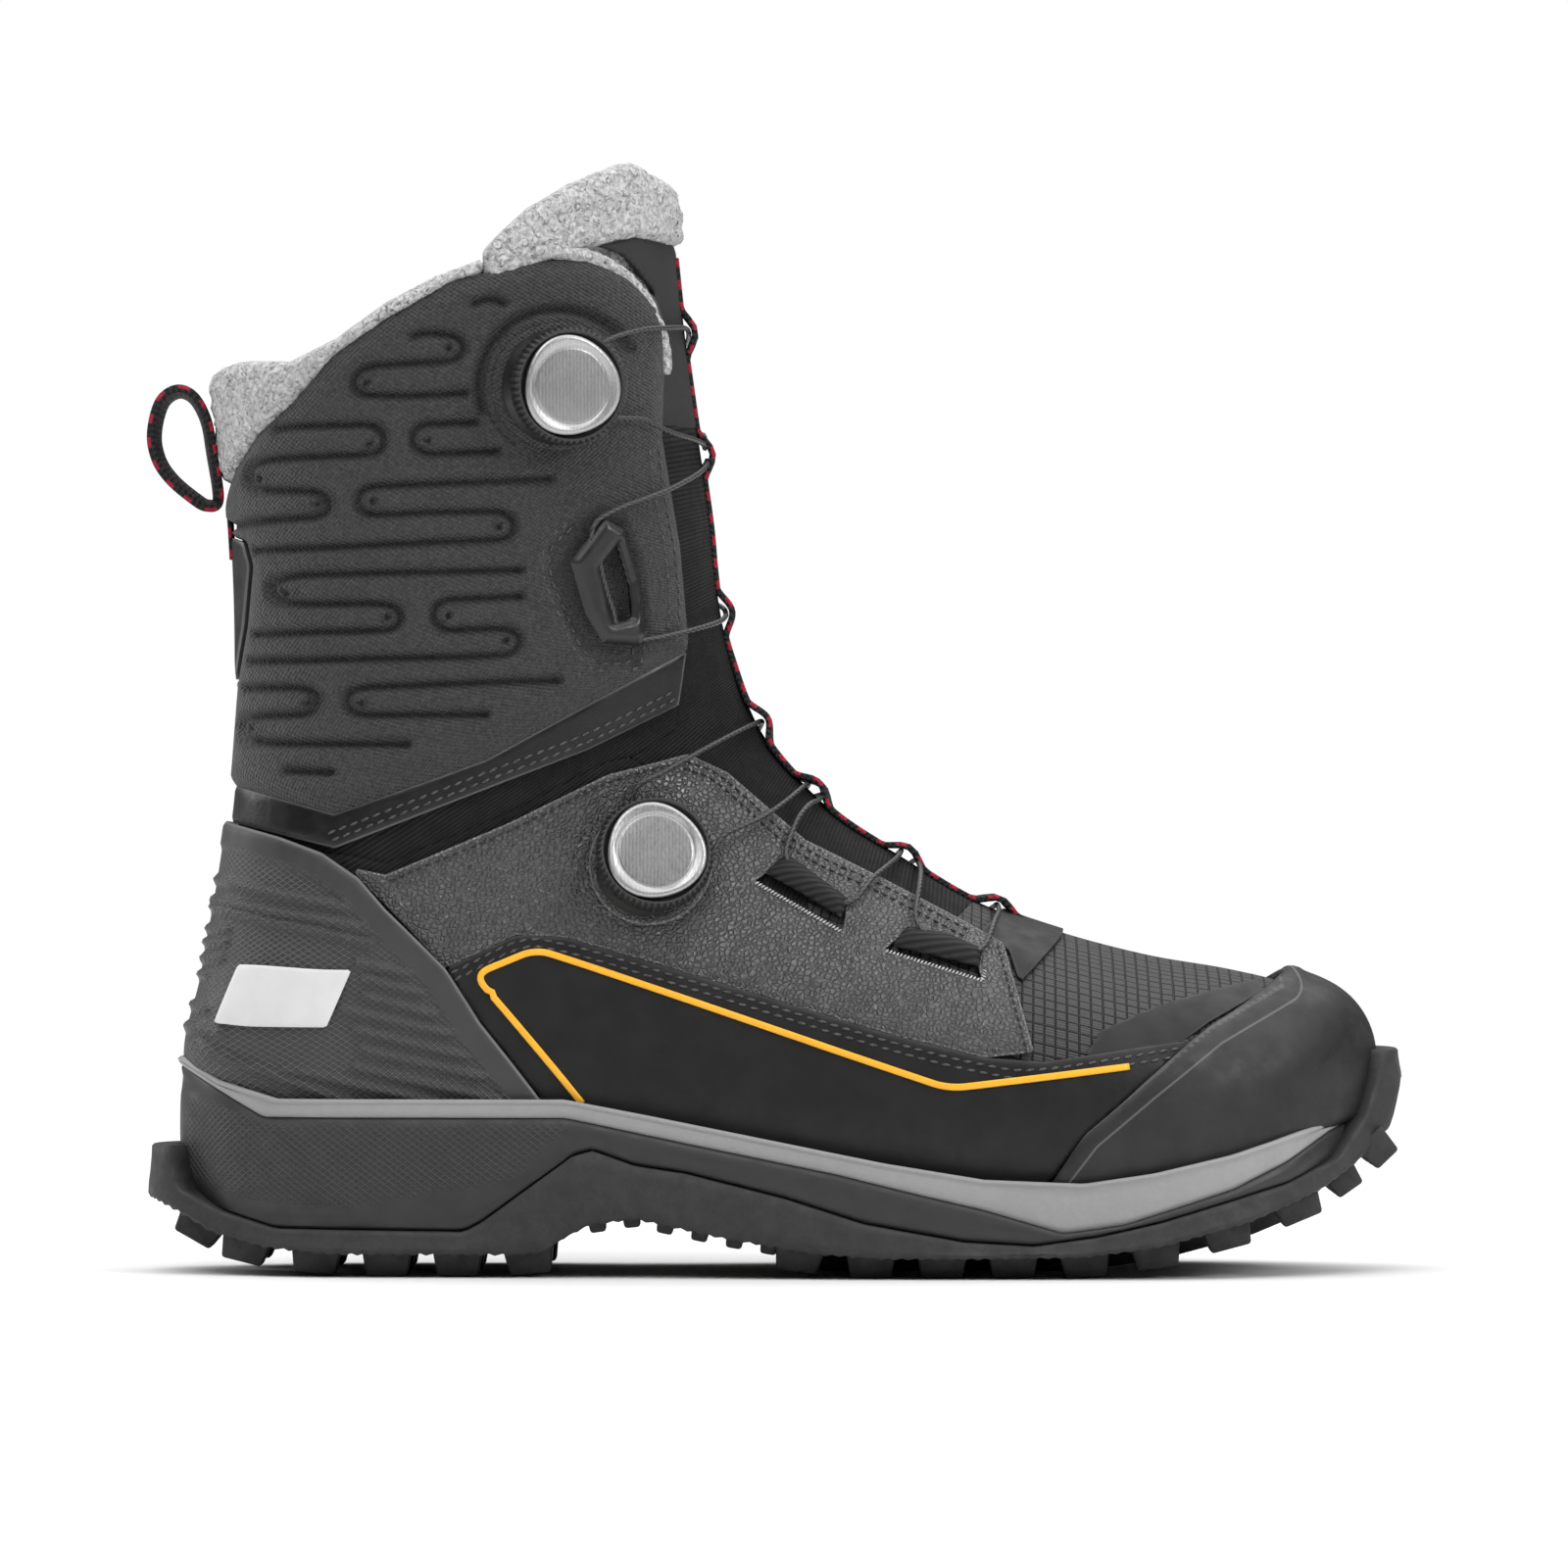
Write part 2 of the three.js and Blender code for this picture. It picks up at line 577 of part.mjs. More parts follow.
for (const [side, range] of sides) {
  const cut = (lifts, outline) => panel(...lifts, grown(outline, -gap / 2), range).intersect(aboveFeather);
  add(`shaft_panel_${side}`, biggest(cut(lift.padding, shaftOutline)), finishes.softshell);
  add(`shaft_band_${side}`, biggest(cut(lift.band, bandOutline)), finishes.film);
  add(`quarter_${side}`, biggest(cut(lift.leather, quarterOutline)), finishes.leather);
  add(`side_rand_${side}`, biggest(cut(lift.rand, randOutline)), finishes.film);
  add(`vamp_film_${side}`, biggest(cut(lift.film, filmOutline)), finishes.film);
  add(`piping_${side}`, biggest(cut(lift.piping, ribbon(graded(pipingRoute), pipingWidth + gap))), finishes.piping);
  add(`heel_patch_${side}`, biggest(cut(lift.emblem, patchOutlines.heel)), finishes.emblem);
}
add("back_stay", biggest(panel(...lift.band, grown(stayOutline, -gap / 2))), finishes.film);
const counterSolid = panel(...lift.counter, grown(counterOutline, -gap / 2)).intersect(aboveFeather);
add("heel_counter", biggest(counterSolid), finishes.counter);
const toePuffSolid = panel(...lift.toePuff, grown(toeOutline, -toePuffInset)).intersect(aboveFeather);
add("toe_puff", biggest(toePuffSolid), finishes.board);
const toeCapSolid = panel(...lift.toeCap, grown(toeOutline, -gap / 2)).intersect(aboveFeather);
add("toe_cap", biggest(toeCapSolid), finishes.film);
add("vamp_patch", biggest(panel(...lift.film, grown(patchOutlines.vamp, -gap / 2))), finishes.film);

// ---- The sole ----
// The sole's outline in plan follows the upper at the feather line, and stands out past it by the ledge.
function featherHeight(x) {
  const next = featherLine.findIndex((p) => p[0] > x);
  const [x0, z0] = featherLine[next - 1];
  const [x1, z1] = featherLine[next];
  return z0 + ((z1 - z0) * (x - x0)) / (x1 - x0);
}

const soleEnds = { rear: -52, toe: 243.5 };
const treadEnds = { rear: -58, toe: 250.2 };

function planSide(side) {
  const points = [];
  for (let x = -38; x <= 226; x += 22) {
    const { t, a } = locate(x, featherHeight(x), side);
    const p = offSkin(t, a, lift.counter[1]);
    points.push([x * gradeX, p.y + side * soleLedge]);
  }
  return points;
}

function planOutline(grow, rear = soleEnds.rear, toe = soleEnds.toe) {
  const rearX = rear * gradeX;
  const toeX = toe * gradeX;
  const tipY = 6 * gradeY;
  const outer = planSide(-1);
  const inner = planSide(1).reverse();
  const points = [
    [rearX + 6, 20 * gradeY], [rearX, 8 * gradeY], [rearX, -8 * gradeY], [rearX + 6, -20 * gradeY], ...outer,
    [toeX - 4, tipY - 20 * gradeY], [toeX, tipY - 8 * gradeY],
    [toeX, tipY + 8 * gradeY], [toeX - 4, tipY + 20 * gradeY], ...inner,
  ].map(([x, y]) => new THREE.Vector2(x, y));
  return grown(points, grow);
}

// A plan outline extruded upwards.
function slab(outline, z0, z1) {
  const shape = new THREE.Shape(clean(outline));
  const geometry = new THREE.ExtrudeGeometry(shape, { depth: z1 - z0, bevelEnabled: false });
  geometry.translate(0, 0, z0);
  return toSolid(geometry);
}

const high = 90 * gradeZ;
const soleBody = slab(planOutline(0), -20, high);
const outsoleBody = slab(planOutline(outsoleFlare, treadEnds.rear, treadEnds.toe), -20, high);
const cupInside = slab(planOutline(-outsoleWall), -20, high);
const cupFloor = lifted(treadLine.map(([x, z]) => [Math.min(x, 244), z]).slice(0, 19), outsoleFloor);
const cup = cupInside.intersect(prism(above(cupFloor)));
const cupFill = slab(planOutline(-outsoleWall - soleGap), -20, high)
  .intersect(prism(above(lifted(cupFloor, soleGap))));

const boardLifts = [gap, gap + boardThick];
const shankLifts = [boardLifts[1] + gap, boardLifts[1] + gap + shankSize.thick];

function boardRegion(lifts, grow) {
  return layer(lifts[0] - grow, lifts[1] + grow)
    .intersect(slab(planOutline(grow - boardInset), -20, high))
    .intersect(prism(below(lifted(bandLine, grow - 3))));
}

function shankRegion(grow) {
  const half = shankSize.width / 2 + grow;
  const front = shankStart + shankSize.length + grow;
  return layer(shankLifts[0] - grow, shankLifts[1] + grow)
    .intersect(prism(rectangle(shankStart - grow, front, -20, 45), -half - shankShift, half - shankShift));
}

add("insole_board", biggest(boardRegion(boardLifts, 0)), finishes.board);
add("shank", biggest(shankRegion(0)), finishes.steel);

const midsoleBlank = soleBody
  .intersect(prism(above(lifted(outsoleLine, soleGap), -80, 300)))
  .add(cupFill)
  .intersect(prism(below(lifted(bandLine, -soleGap))))
  .subtract(lastVolume(gap))
  .subtract(boardRegion(boardLifts, gap))
  .subtract(shankRegion(gap));

add("midsole", biggest(midsoleBlank), finishes.foam);
add("midsole_band", biggest(soleBody
  .intersect(prism(above(bandLine)))
  .intersect(prism(below(featherLine)))
  .subtract(lastVolume(gap))), finishes.greyFoam);

// Lugs: boxes that follow the tread line, trimmed to the flat ground under heel and ball.
function treadHeight(x) {
  const next = treadLine.findIndex((p) => p[0] > x);
  const [x0, z0] = treadLine[next - 1];
  const [x1, z1] = treadLine[next];
  return { z: z0 + ((z1 - z0) * (x - x0)) / (x1 - x0), slope: Math.atan2((z1 - z0) * gradeZ, (x1 - x0) * gradeX) };
}

function lug(x, y, length, width) {
  const { z, slope } = treadHeight(x / gradeX);
  const flat = Math.abs(slope) < 0.09;
  const box = new THREE.BoxGeometry(length, width, lugDepth + 4);
  box.translate(0, 0, (4 - lugDepth) / 2 - (flat ? 2 : 0));
  box.rotateY(flat ? 0 : -slope);
  box.translate(x, y * gradeY, z * gradeZ);
  return toSolid(box);
}

const aboveGround = prism(above([[farBack, 0], [farFront, 0]]));
let tread = outsoleBody.intersect(prism(above(treadLine)));

// Rows of lugs: how far across, and where they run along the sole.
function addLugs(across, from, to, width) {
  for (let x = from; x <= to * gradeX; x += lugPitch) {
    const half = soleHalf(x / gradeX, Math.sign(across) || 1);
    const y = across * half;
    tread = tread.add(lug(x, y / gradeY, lugLength, width));
  }
}

function soleHalf(x, side) {
  const knownX = THREE.MathUtils.clamp(x, -38, 226);
  const { t, a } = locate(knownX, featherHeight(knownX), side);
  return Math.abs(offSkin(t, a, lift.counter[1]).y);
}

for (const side of [-1, 1]) {
  addLugs(0.78 * side, -35, 35, lugWidth);
  addLugs(0.8 * side, 102, 225, lugWidth);
}
addLugs(0.1, 112, 225, lugWidth * 1.6);
addLugs(0, 0, 20, lugWidth);
tread = tread.add(lug(-47, 0, lugLength, 1.6 * lugWidth));
add("outsole", biggest(tread
  .intersect(aboveGround)
  .intersect(prism(below(outsoleLine, -80, 260)))
  .subtract(cup)
  .subtract(lastVolume(lift.toeCap[1] + gap))), finishes.rubber);

// ---- Closed straps that lie on the upper ----
// Each station of a strap has a (t, a) point, a half width in angle and its lift; the strap is closed all round.
function strap(rows) {
  const positions = [];
  for (const row of rows) positions.push(...row.under.flatMap((p) => [...p]), ...row.over.flatMap((p) => [...p]));
  const across = rows[0].under.length;
  const ring = 2 * across;
  const index = [];
  const quad = (a, b, c, d) => index.push(a, b, c, a, c, d);
  for (let r = 0; r < rows.length - 1; r++) {
    const here = r * ring;
    const next = here + ring;
    for (let i = 0; i < across - 1; i++) {
      quad(here + i, next + i, next + i + 1, here + i + 1);
      quad(here + across + i, here + across + i + 1, next + across + i + 1, next + across + i);
    }
    quad(here, here + across, next + across, next);
    quad(here + across - 1, next + across - 1, next + ring - 1, here + ring - 1);
  }
  for (const [start, flip] of [[0, false], [(rows.length - 1) * ring, true]]) {
    for (let i = 0; i < across - 1; i++) {
      const loop = [start + i, start + i + 1, start + across + i + 1, start + across + i];
      quad(...(flip ? loop.reverse() : loop));
    }
  }
  const geometry = new THREE.BufferGeometry();
  geometry.setAttribute("position", new THREE.Float32BufferAttribute(positions, 3));
  geometry.setIndex(index);
  return toSolid(geometry);
}

// ---- Instep webbing: runs down the front and arches over each lace crossing ----
const crossings = [
  [73.6, 234.5], [77.5, 203.9], [83.4, 164.6], [92, 137.1], [104.3, 118.7], [126.3, 100.8], [151, 90.5],
].map(([x, z]) => frontStation(x, z));
const webbingTop = frontStation(71, 253);
const webbingFoot = frontStation(157, 88.5);

function frontLength(t0, t1) {
  return skin(t0, 0).distanceTo(skin(t1, 0));
}

function webbingRows() {
  const rows = [];
  let t = webbingTop;
  while (t > webbingFoot) {
    const nearest = Math.min(...crossings.map((c) => frontLength(c, t)));
    const rise = loopRise * THREE.MathUtils.smoothstep(1 - nearest / loopHalf, 0, 1);
    const at = (y, extra) => offSkin(t, acrossAngle(t, y), webbingLift + rise + extra);
    const spots = [-webbingWidth / 2, webbingWidth / 2];
    rows.push({ under: spots.map((y) => at(y, 0)), over: spots.map((y) => at(y, webbingThick)) });
    t -= (0.01 * webbingStep) / frontLength(t, t - 0.01);
  }
  return rows;
}

// ---- Winding dials ----
// A closed profile of [radius, height] points turned about the dial's axis.
function turned(profile, segments = 20) {
  const points = [...profile, profile[0]].map(([r, h]) => new THREE.Vector2(r, h));
  const geometry = new THREE.LatheGeometry(points, segments);
  geometry.rotateX(Math.PI / 2);
  return toSolid(geometry);
}

// A dial's own frame: origin on the surface it sits on, z out along its axis, x towards the toe.
function dialFrame([x, z], surfaceLift) {
  const { t, a } = locate(x, z, -1);
  const axis = skinNormal(t, a);
  const forward = new THREE.Vector3(1, 0, 0).addScaledVector(axis, -axis.x).normalize();
  const up = new THREE.Vector3().crossVectors(axis, forward);
  return new THREE.Matrix4().makeBasis(forward, up, axis).setPosition(offSkin(t, a, surfaceLift));
}

function placed(solid, frame) {
  return solid.transform([...frame.elements]);
}

const dialHeights = {
  spoolBase: dial.floorHeight + gap,
  spoolTop: dial.floorHeight + gap + dial.spoolHeight,
  knobBase: dial.housingHeight + dial.runningGap,
};
dialHeights.knobTop = dialHeights.knobBase + dial.knobHeight;
dialHeights.capBase = dialHeights.knobTop - dial.capThick / 2;
dialHeights.knobPlate = dialHeights.capBase - gap;
dialHeights.splineTop = dialHeights.knobPlate - 1.2;
dialHeights.lace = (dialHeights.spoolBase + dialHeights.spoolTop) / 2;
const spoolBore = dial.axleRadius + dial.runningGap;
const spoolWell = dial.spoolRadius + dial.runningGap;

function waved(radius, depth, waves, steps) {
  return Array.from({ length: steps }, (_, i) => {
    const turn = (2 * Math.PI * i) / steps;
    const r = radius + depth * Math.cos(waves * turn);
    return new THREE.Vector2(r * Math.cos(turn), r * Math.sin(turn));
  });
}

function dialHousing() {
  return turned([
    [spoolWell, dial.floorHeight], [spoolWell, dial.housingHeight], [dial.housingRadius - 0.6, dial.housingHeight],
    [dial.housingRadius, dial.housingHeight - 0.8], [dial.housingRadius, -8], [0, -8], [0, dial.floorHeight],
  ]);
}

function dialSpool() {
  const { spoolBase, spoolTop, splineTop } = dialHeights;
  return turned([
    [spoolBore, spoolBase], [dial.spoolRadius, spoolBase], [dial.spoolRadius, spoolBase + 0.5],
    [dial.spoolRadius - 1.6, spoolBase + 1], [dial.spoolRadius - 1.6, spoolTop - 1],
    [dial.spoolRadius, spoolTop - 0.5], [dial.spoolRadius, spoolTop], [dial.splineRadius, spoolTop],
    [dial.splineRadius, splineTop], [spoolBore, splineTop],
  ], 16);
}

function dialAxle() {
  const { splineTop } = dialHeights;
  const base = dial.floorHeight + gap;
  return turned([[0, base], [dial.axleRadius, base], [dial.axleRadius, splineTop], [0, splineTop]], 12);
}

function dialKnob() {
  const { knobBase, knobTop, knobPlate } = dialHeights;
  const half = dial.toothDepth / 2;
  const blank = slab(waved(dial.knobRadius - half, half, dial.knobTeeth, 2 * dial.knobTeeth), knobBase, knobTop);
  const dishRadius = dial.capRadius + dial.capLobe + gap;
  const dish = turned([[0, knobPlate], [dishRadius, knobPlate], [dishRadius, knobTop + 2], [0, knobTop + 2]]);
  const socketRadius = dial.splineRadius + dial.runningGap;
  const socket = turned([[0, 0], [socketRadius, 0], [socketRadius, knobPlate - 1], [0, knobPlate - 1]], 16);
  return blank.subtract(dish).subtract(socket);
}

function dialCap() {
  return slab(waved(dial.capRadius, dial.capLobe, 3, 36), dialHeights.capBase, dialHeights.capBase + dial.capThick);
}

const dials = {
  upper: { at: [41.4, 219.7], surface: lift.padding[1], exits: [47, -32] },
  lower: { at: [65, 101.8], surface: lift.leather[1], exits: [112, 6] },
};

function dialPoint(which, degrees, radius, height) {
  const turn = THREE.MathUtils.degToRad(degrees);
  const p = new THREE.Vector3(radius * Math.cos(turn), radius * Math.sin(turn), height);
  return p.applyMatrix4(which.frame);
}

for (const which of Object.values(dials)) which.frame = dialFrame(which.at, which.surface);

// ---- Laces ----
// A lace's way-points: [x, z, side, lift] on the upper, side 0 is the front line. Between them it follows the skin.
const onCloth = laceClearance + laceRadius + 1;
const onPadding = lift.padding[1] + gap + laceClearance + laceRadius;
const onLeather = lift.leather[1] + gap + laceClearance + laceRadius + 0.8;
const inGuide = gap + guideThick / 2;
const laceSteps = 75;
const over = 2 * laceRadius + laceClearance + 0.3;

function laceRoute(which, wayPoints) {
  const settled = wayPoints.map(([x, z, side, rise]) => {
    const { t, a } = side ? locate(x, z, side) : { t: frontStation(x, z), a: 0 };
    return new THREE.Vector3(t, a, rise);
  });
  const path = new THREE.CatmullRomCurve3(settled, false, "centripetal");
  const steps = 3 * (settled.length - 1);
  const surface = [];
  for (let i = 0; i <= steps; i++) {
    const p = path.getPoint(i / steps);
    surface.push(offSkin(p.x, p.y, p.z));
  }
  const [first, last] = which.exits;
  const leave = (degrees) => [
    dialPoint(which, degrees, dial.spoolRadius - 0.6, dialHeights.lace),
    dialPoint(which, degrees, dial.housingRadius + 0.8, dialHeights.lace),
  ];
  const points = [...leave(first), ...surface, ...leave(last).reverse()];
  return new THREE.CatmullRomCurve3(points, false, "centripetal");
}

function cord(route, radius, steps) {
  const section = new THREE.Shape(waved(radius, 0, 0, 8));
  const geometry = new THREE.ExtrudeGeometry(section, { steps, bevelEnabled: false, extrudePath: route });
  return toSolid(geometry);
}

const upperRoute = laceRoute(dials.upper, [
  [57.6, 233.3, -1, onPadding + 1.2],
  [73.6, 234.5, 0, onCloth],
  [60, 226, 1, onPadding],
  [52, 222.5, 1, lift.padding[1] + inGuide],
  [48.5, 219, 1, lift.padding[1] + inGuide],
  [52, 215.5, 1, lift.padding[1] + inGuide],
  [60, 209.5, 1, onPadding],
  [68, 203.2, 1, onPadding],
  [77.7, 202.4, 0, onCloth],
  [66, 194.5, -1, onPadding],
  [49.4, 186.6, -1, lift.padding[1] + inGuide],
  [50.2, 178, -1, lift.padding[1] + inGuide],
  [53.6, 164.5, -1, lift.padding[1] + inGuide],
  [58.9, 157.2, -1, onPadding - 0.6],
  [72, 160, -1, onPadding],
  [83.4, 164.6, 0, onCloth],
  [70, 169, 1, onPadding],
  [58, 176.5, 1, lift.padding[1] + inGuide],
  [54.5, 180, 1, lift.padding[1] + inGuide],
  [58, 183.5, 1, lift.padding[1] + inGuide],
  [63, 194, 1, onPadding + over],
  [68, 204.8, 1, onPadding + over],
  [77.3, 205.6, 0, onCloth],
  [67, 208, -1, onPadding],
  [58.9, 211.5, -1, onPadding + 1.2],
]);
const lowerRoute = laceRoute(dials.lower, [
  [60.1, 121.2, -1, onLeather + 1.2],
  [75, 129, -1, onLeather],
  [92, 137.1, 0, onCloth],
  [84, 128, 1, onLeather],
  [77, 121, 1, lift.leather[1] + inGuide],
  [76, 117, 1, lift.leather[1] + inGuide],
  [80, 114.5, 1, lift.leather[1] + inGuide],
  [94, 115.5, 1, onLeather],
  [105.8, 117.2, 0, onCloth],
  [101, 111, -1, onLeather],
  [99.5, 105, -1, lift.leather[1] + inGuide],
  [106, 97, -1, lift.leather[1] + inGuide],
  [113.3, 91, -1, lift.leather[1] + inGuide],
  [119, 95.5, -1, onLeather],
  [125.2, 101.5, 0, onCloth],
  [117, 94.5, 1, onLeather],
  [112, 90.5, 1, lift.leather[1] + inGuide],
  [112, 87, 1, lift.leather[1] + inGuide],
  [116, 87, 1, lift.leather[1] + inGuide],
  [128.8, 99, 0, onCloth],
  [131, 94, -1, onLeather],
  [132.5, 89.5, -1, lift.leather[1] + inGuide],
  [139, 84.5, -1, lift.leather[1] + inGuide],
  [146, 82, -1, lift.leather[1] + inGuide],
  [149.5, 86, -1, onCloth],
  [151, 90.5, 0, onCloth],
  [145, 84, 1, onLeather],
  [138, 78.5, 1, lift.leather[1] + inGuide],
  [133, 78, 1, lift.leather[1] + inGuide],
  [129, 80.5, 1, lift.leather[1] + inGuide],
  [118, 82, 1, onLeather],
  [104, 95, 1, onLeather],
  [97, 111, 1, onLeather + over],
  [102.6, 120.2, 0, onCloth],
  [93, 112, -1, onLeather],
  [82.6, 106.6, -1, onLeather + 1.2],
]);
const upperLace = cord(upperRoute, laceRadius, laceSteps);
const lowerLace = cord(lowerRoute, laceRadius, laceSteps);
add("upper_lace", upperLace, finishes.lace);
add("lower_lace", lowerLace, finishes.lace);
const laceSpace = cord(upperRoute, laceRadius + laceClearance, laceSteps)
  .add(cord(lowerRoute, laceRadius + laceClearance, laceSteps));

const webbing = strap(webbingRows()).subtract(lastVolume(gap)).subtract(laceSpace);
add("instep_webbing", biggest(webbing), finishes.webbing);

for (const [name, which] of Object.entries(dials)) {
  const seat = lastVolume(which.surface + gap);
  const disc = placed(slab(waved(dial.flangeRadius, 0, 0, 20), -12, 12), which.frame);
  const opening = placed(slab(waved(dial.housingRadius + gap, 0, 0, 20), -14, 14), which.frame);
  const flange = disc.intersect(lastVolume(which.surface + gap + dial.flangeThick)).subtract(seat).subtract(opening);
  add(`${name}_dial_flange`, biggest(flange), finishes.plastic);
  const housing = placed(dialHousing(), which.frame).subtract(seat).subtract(laceSpace);
  add(`${name}_dial_housing`, biggest(housing), finishes.plastic);
  add(`${name}_dial_axle`, placed(dialAxle(), which.frame), finishes.steel);
  add(`${name}_dial_spool`, placed(dialSpool(), which.frame), finishes.plastic);
  add(`${name}_dial_knob`, placed(dialKnob(), which.frame), finishes.rubber);
  add(`${name}_dial_cap`, placed(dialCap(), which.frame), finishes.cap);
}

// ---- Guides and loops that turn the laces ----
function guideAt(outline, side, surface, thick = guideThick) {
  const range = side < 0 ? outerSide : innerSide;
  return biggest(panel(surface + gap, surface + gap + thick, outline, range).subtract(laceSpace));
}

const guideFrame = graded([
  [43.8, 176.9], [51.5, 187.8], [56.2, 184.6], [60, 171], [61.2, 158.5], [59.6, 155.8], [51.5, 156.6], [47.5, 163.5],
]);
const guideWindow = graded([[52.2, 177], [55, 180.3], [57.2, 171.6], [57.4, 165.5], [55, 168]]);
const upperGuide = guideAt(guideFrame, -1, lift.padding[1]).subtract(prism(guideWindow));
add("upper_lace_guide", biggest(upperGuide), finishes.plastic);

const guides = [
  ["inner_guide_1", [[46, 213.5], [46, 224.5], [55, 226], [55, 212]], 1, lift.padding[1]],
  ["inner_guide_2", [[52, 175], [52, 185], [60.5, 187], [60.5, 173]], 1, lift.padding[1]],
  ["inner_guide_3", [[73.5, 113], [73.5, 124], [81, 127], [84, 112]], 1, lift.leather[1]],
  ["inner_guide_4", [[109.5, 84], [109.5, 93.5], [115, 93.5], [119, 85]], 1, lift.leather[1]],
  ["inner_guide_5", [[126, 76], [126, 84], [139, 82], [140, 75]], 1, lift.leather[1]],
  ["slot_loop_rear", [[96.5, 106], [101, 108], [115, 92.5], [111, 87.5]], -1, lift.leather[1]],
  ["slot_loop_front", [[130, 91.5], [135, 92.5], [148, 84.5], [145, 79.5]], -1, lift.leather[1]],
];
for (const [name, outline, side, surface] of guides) {
  add(name, guideAt(graded(outline), side, surface), finishes.webbing);
}

// ---- Pull loop at the back of the collar ----
const pullLoopOutside = curved([
  [-42.5, 192.2], [-45.1, 205], [-46.6, 212.4], [-49.3, 217.8], [-53.2, 219.3], [-57.2, 216.1], [-58.9, 209.2],
  [-57.6, 203], [-54.5, 198.2], [-49.1, 193.8], [-46.5, 190.8], [-42.5, 192.2],
], 2).slice(0, -1);
add("pull_loop", prism(pullLoopOutside, -pullLoopWidth / 2, pullLoopWidth / 2)
  .subtract(prism(grown(pullLoopOutside, -pullLoopThick))), finishes.webbing);
const tabOutline = graded([[-70, 176.5], [-30, 176.5], [-30, 188.5], [-70, 188.5]]);
add("pull_loop_tab", biggest(layer(lift.padding[1] + gap, lift.padding[1] + gap + 1.2)
  .intersect(prism(tabOutline, -pullLoopWidth / 2, pullLoopWidth / 2))
  .subtract(prism(graded([[0, 0], [farFront, 0], [farFront, 300], [0, 300]])))), finishes.webbing);

// ---- Footbed ----
const footbedTop = [
  [-60, 45], [-30, 39.5], [2, 37.4], [45, 37], [74, 35], [108, 30.4], [140, 27], [166, 26], [189, 27], [209, 30.2],
  [225, 35], [240, 42],
];
add("footbed", biggest(lastVolume(lift.fleece[0] - gap).intersect(prism(below(footbedTop)))), finishes.board);
export default group;
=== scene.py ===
import json
import math

import bmesh
import bpy
import numpy as np
from mathutils import Matrix, Vector, kdtree, noise


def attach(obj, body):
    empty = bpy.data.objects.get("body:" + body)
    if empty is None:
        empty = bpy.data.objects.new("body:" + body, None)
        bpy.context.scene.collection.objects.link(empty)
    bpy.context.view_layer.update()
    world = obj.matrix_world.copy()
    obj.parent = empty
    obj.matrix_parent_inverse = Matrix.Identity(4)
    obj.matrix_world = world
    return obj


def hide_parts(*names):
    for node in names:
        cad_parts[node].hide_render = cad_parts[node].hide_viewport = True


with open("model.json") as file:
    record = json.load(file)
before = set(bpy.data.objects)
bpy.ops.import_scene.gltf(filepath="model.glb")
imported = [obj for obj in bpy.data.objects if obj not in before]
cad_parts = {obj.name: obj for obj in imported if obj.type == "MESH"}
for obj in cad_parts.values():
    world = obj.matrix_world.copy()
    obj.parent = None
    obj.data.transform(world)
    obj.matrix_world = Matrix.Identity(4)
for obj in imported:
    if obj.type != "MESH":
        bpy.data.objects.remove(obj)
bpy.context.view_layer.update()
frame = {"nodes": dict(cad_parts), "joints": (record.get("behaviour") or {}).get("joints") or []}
mm = 0.001
print("frame loaded:", len(frame["nodes"]), "nodes")

# the last: one section a row, from the tip of the toe to the top of the shaft
# front x, z, back x, z, centre y, half width, widest from front to back, roundness in front, roundness behind
stations = np.array([
    [243.5, 47, 243.5, 47, 6, 0, 0.5, 0.9, 0.9],
    [241.3, 58.5, 241.3, 36, 5.5, 15, 0.5, 0.85, 0.85],
    [235.5, 66, 235.5, 29.5, 5, 25, 0.52, 0.82, 0.8],
    [225, 71.5, 225, 24, 3.5, 35, 0.56, 0.8, 0.68],
    [209, 75.5, 209, 19.5, 2, 43.5, 0.6, 0.8, 0.62],
    [189, 79, 189, 16.5, 0, 48, 0.62, 0.8, 0.6],
    [167, 84.8, 166, 15.5, -1.5, 49.5, 0.62, 0.8, 0.6],
    [146, 92.5, 140, 16.5, -3, 48, 0.62, 0.8, 0.6],
    [127.4, 103.6, 108, 20, -4, 44.5, 0.62, 0.82, 0.6],
    [112, 113.5, 74, 24.5, -3.5, 40.5, 0.62, 0.85, 0.62],
    [100.5, 124.4, 38, 27, -1.5, 38, 0.62, 0.85, 0.64],
    [93, 134, 2, 27, 0, 37.5, 0.62, 0.85, 0.66],
    [88.6, 143, -32, 31, 0, 38, 0.6, 0.86, 0.72],
    [85.6, 151.5, -48.2, 50, 0, 38.5, 0.56, 0.88, 0.82],
    [83.2, 159.5, -44.5, 74, 0, 39, 0.52, 0.9, 0.9],
    [81.7, 167.5, -40, 100, 0, 39.5, 0.5, 0.92, 0.92],
    [80.7, 176, -37.2, 122, 0, 40, 0.5, 0.94, 0.94],
    [79.8, 186, -36.5, 146, 0, 41, 0.5, 0.95, 0.95],
    [78, 199, -36.8, 171, 0, 43, 0.5, 0.95, 0.95],
    [75.3, 217, -38.4, 196, 0, 45, 0.5, 0.95, 0.95],
    [72.5, 238, -42.3, 224, 0, 47, 0.5, 0.95, 0.95],
    [70, 262, -46, 254, 0, 48.5, 0.5, 0.95, 0.95],
    [67.5, 288, -50, 285, 0, 50, 0.5, 0.95, 0.95],
])
lastStation = len(stations) - 1


def power(value, exponent):
    return np.sign(value) * np.abs(value) ** exponent


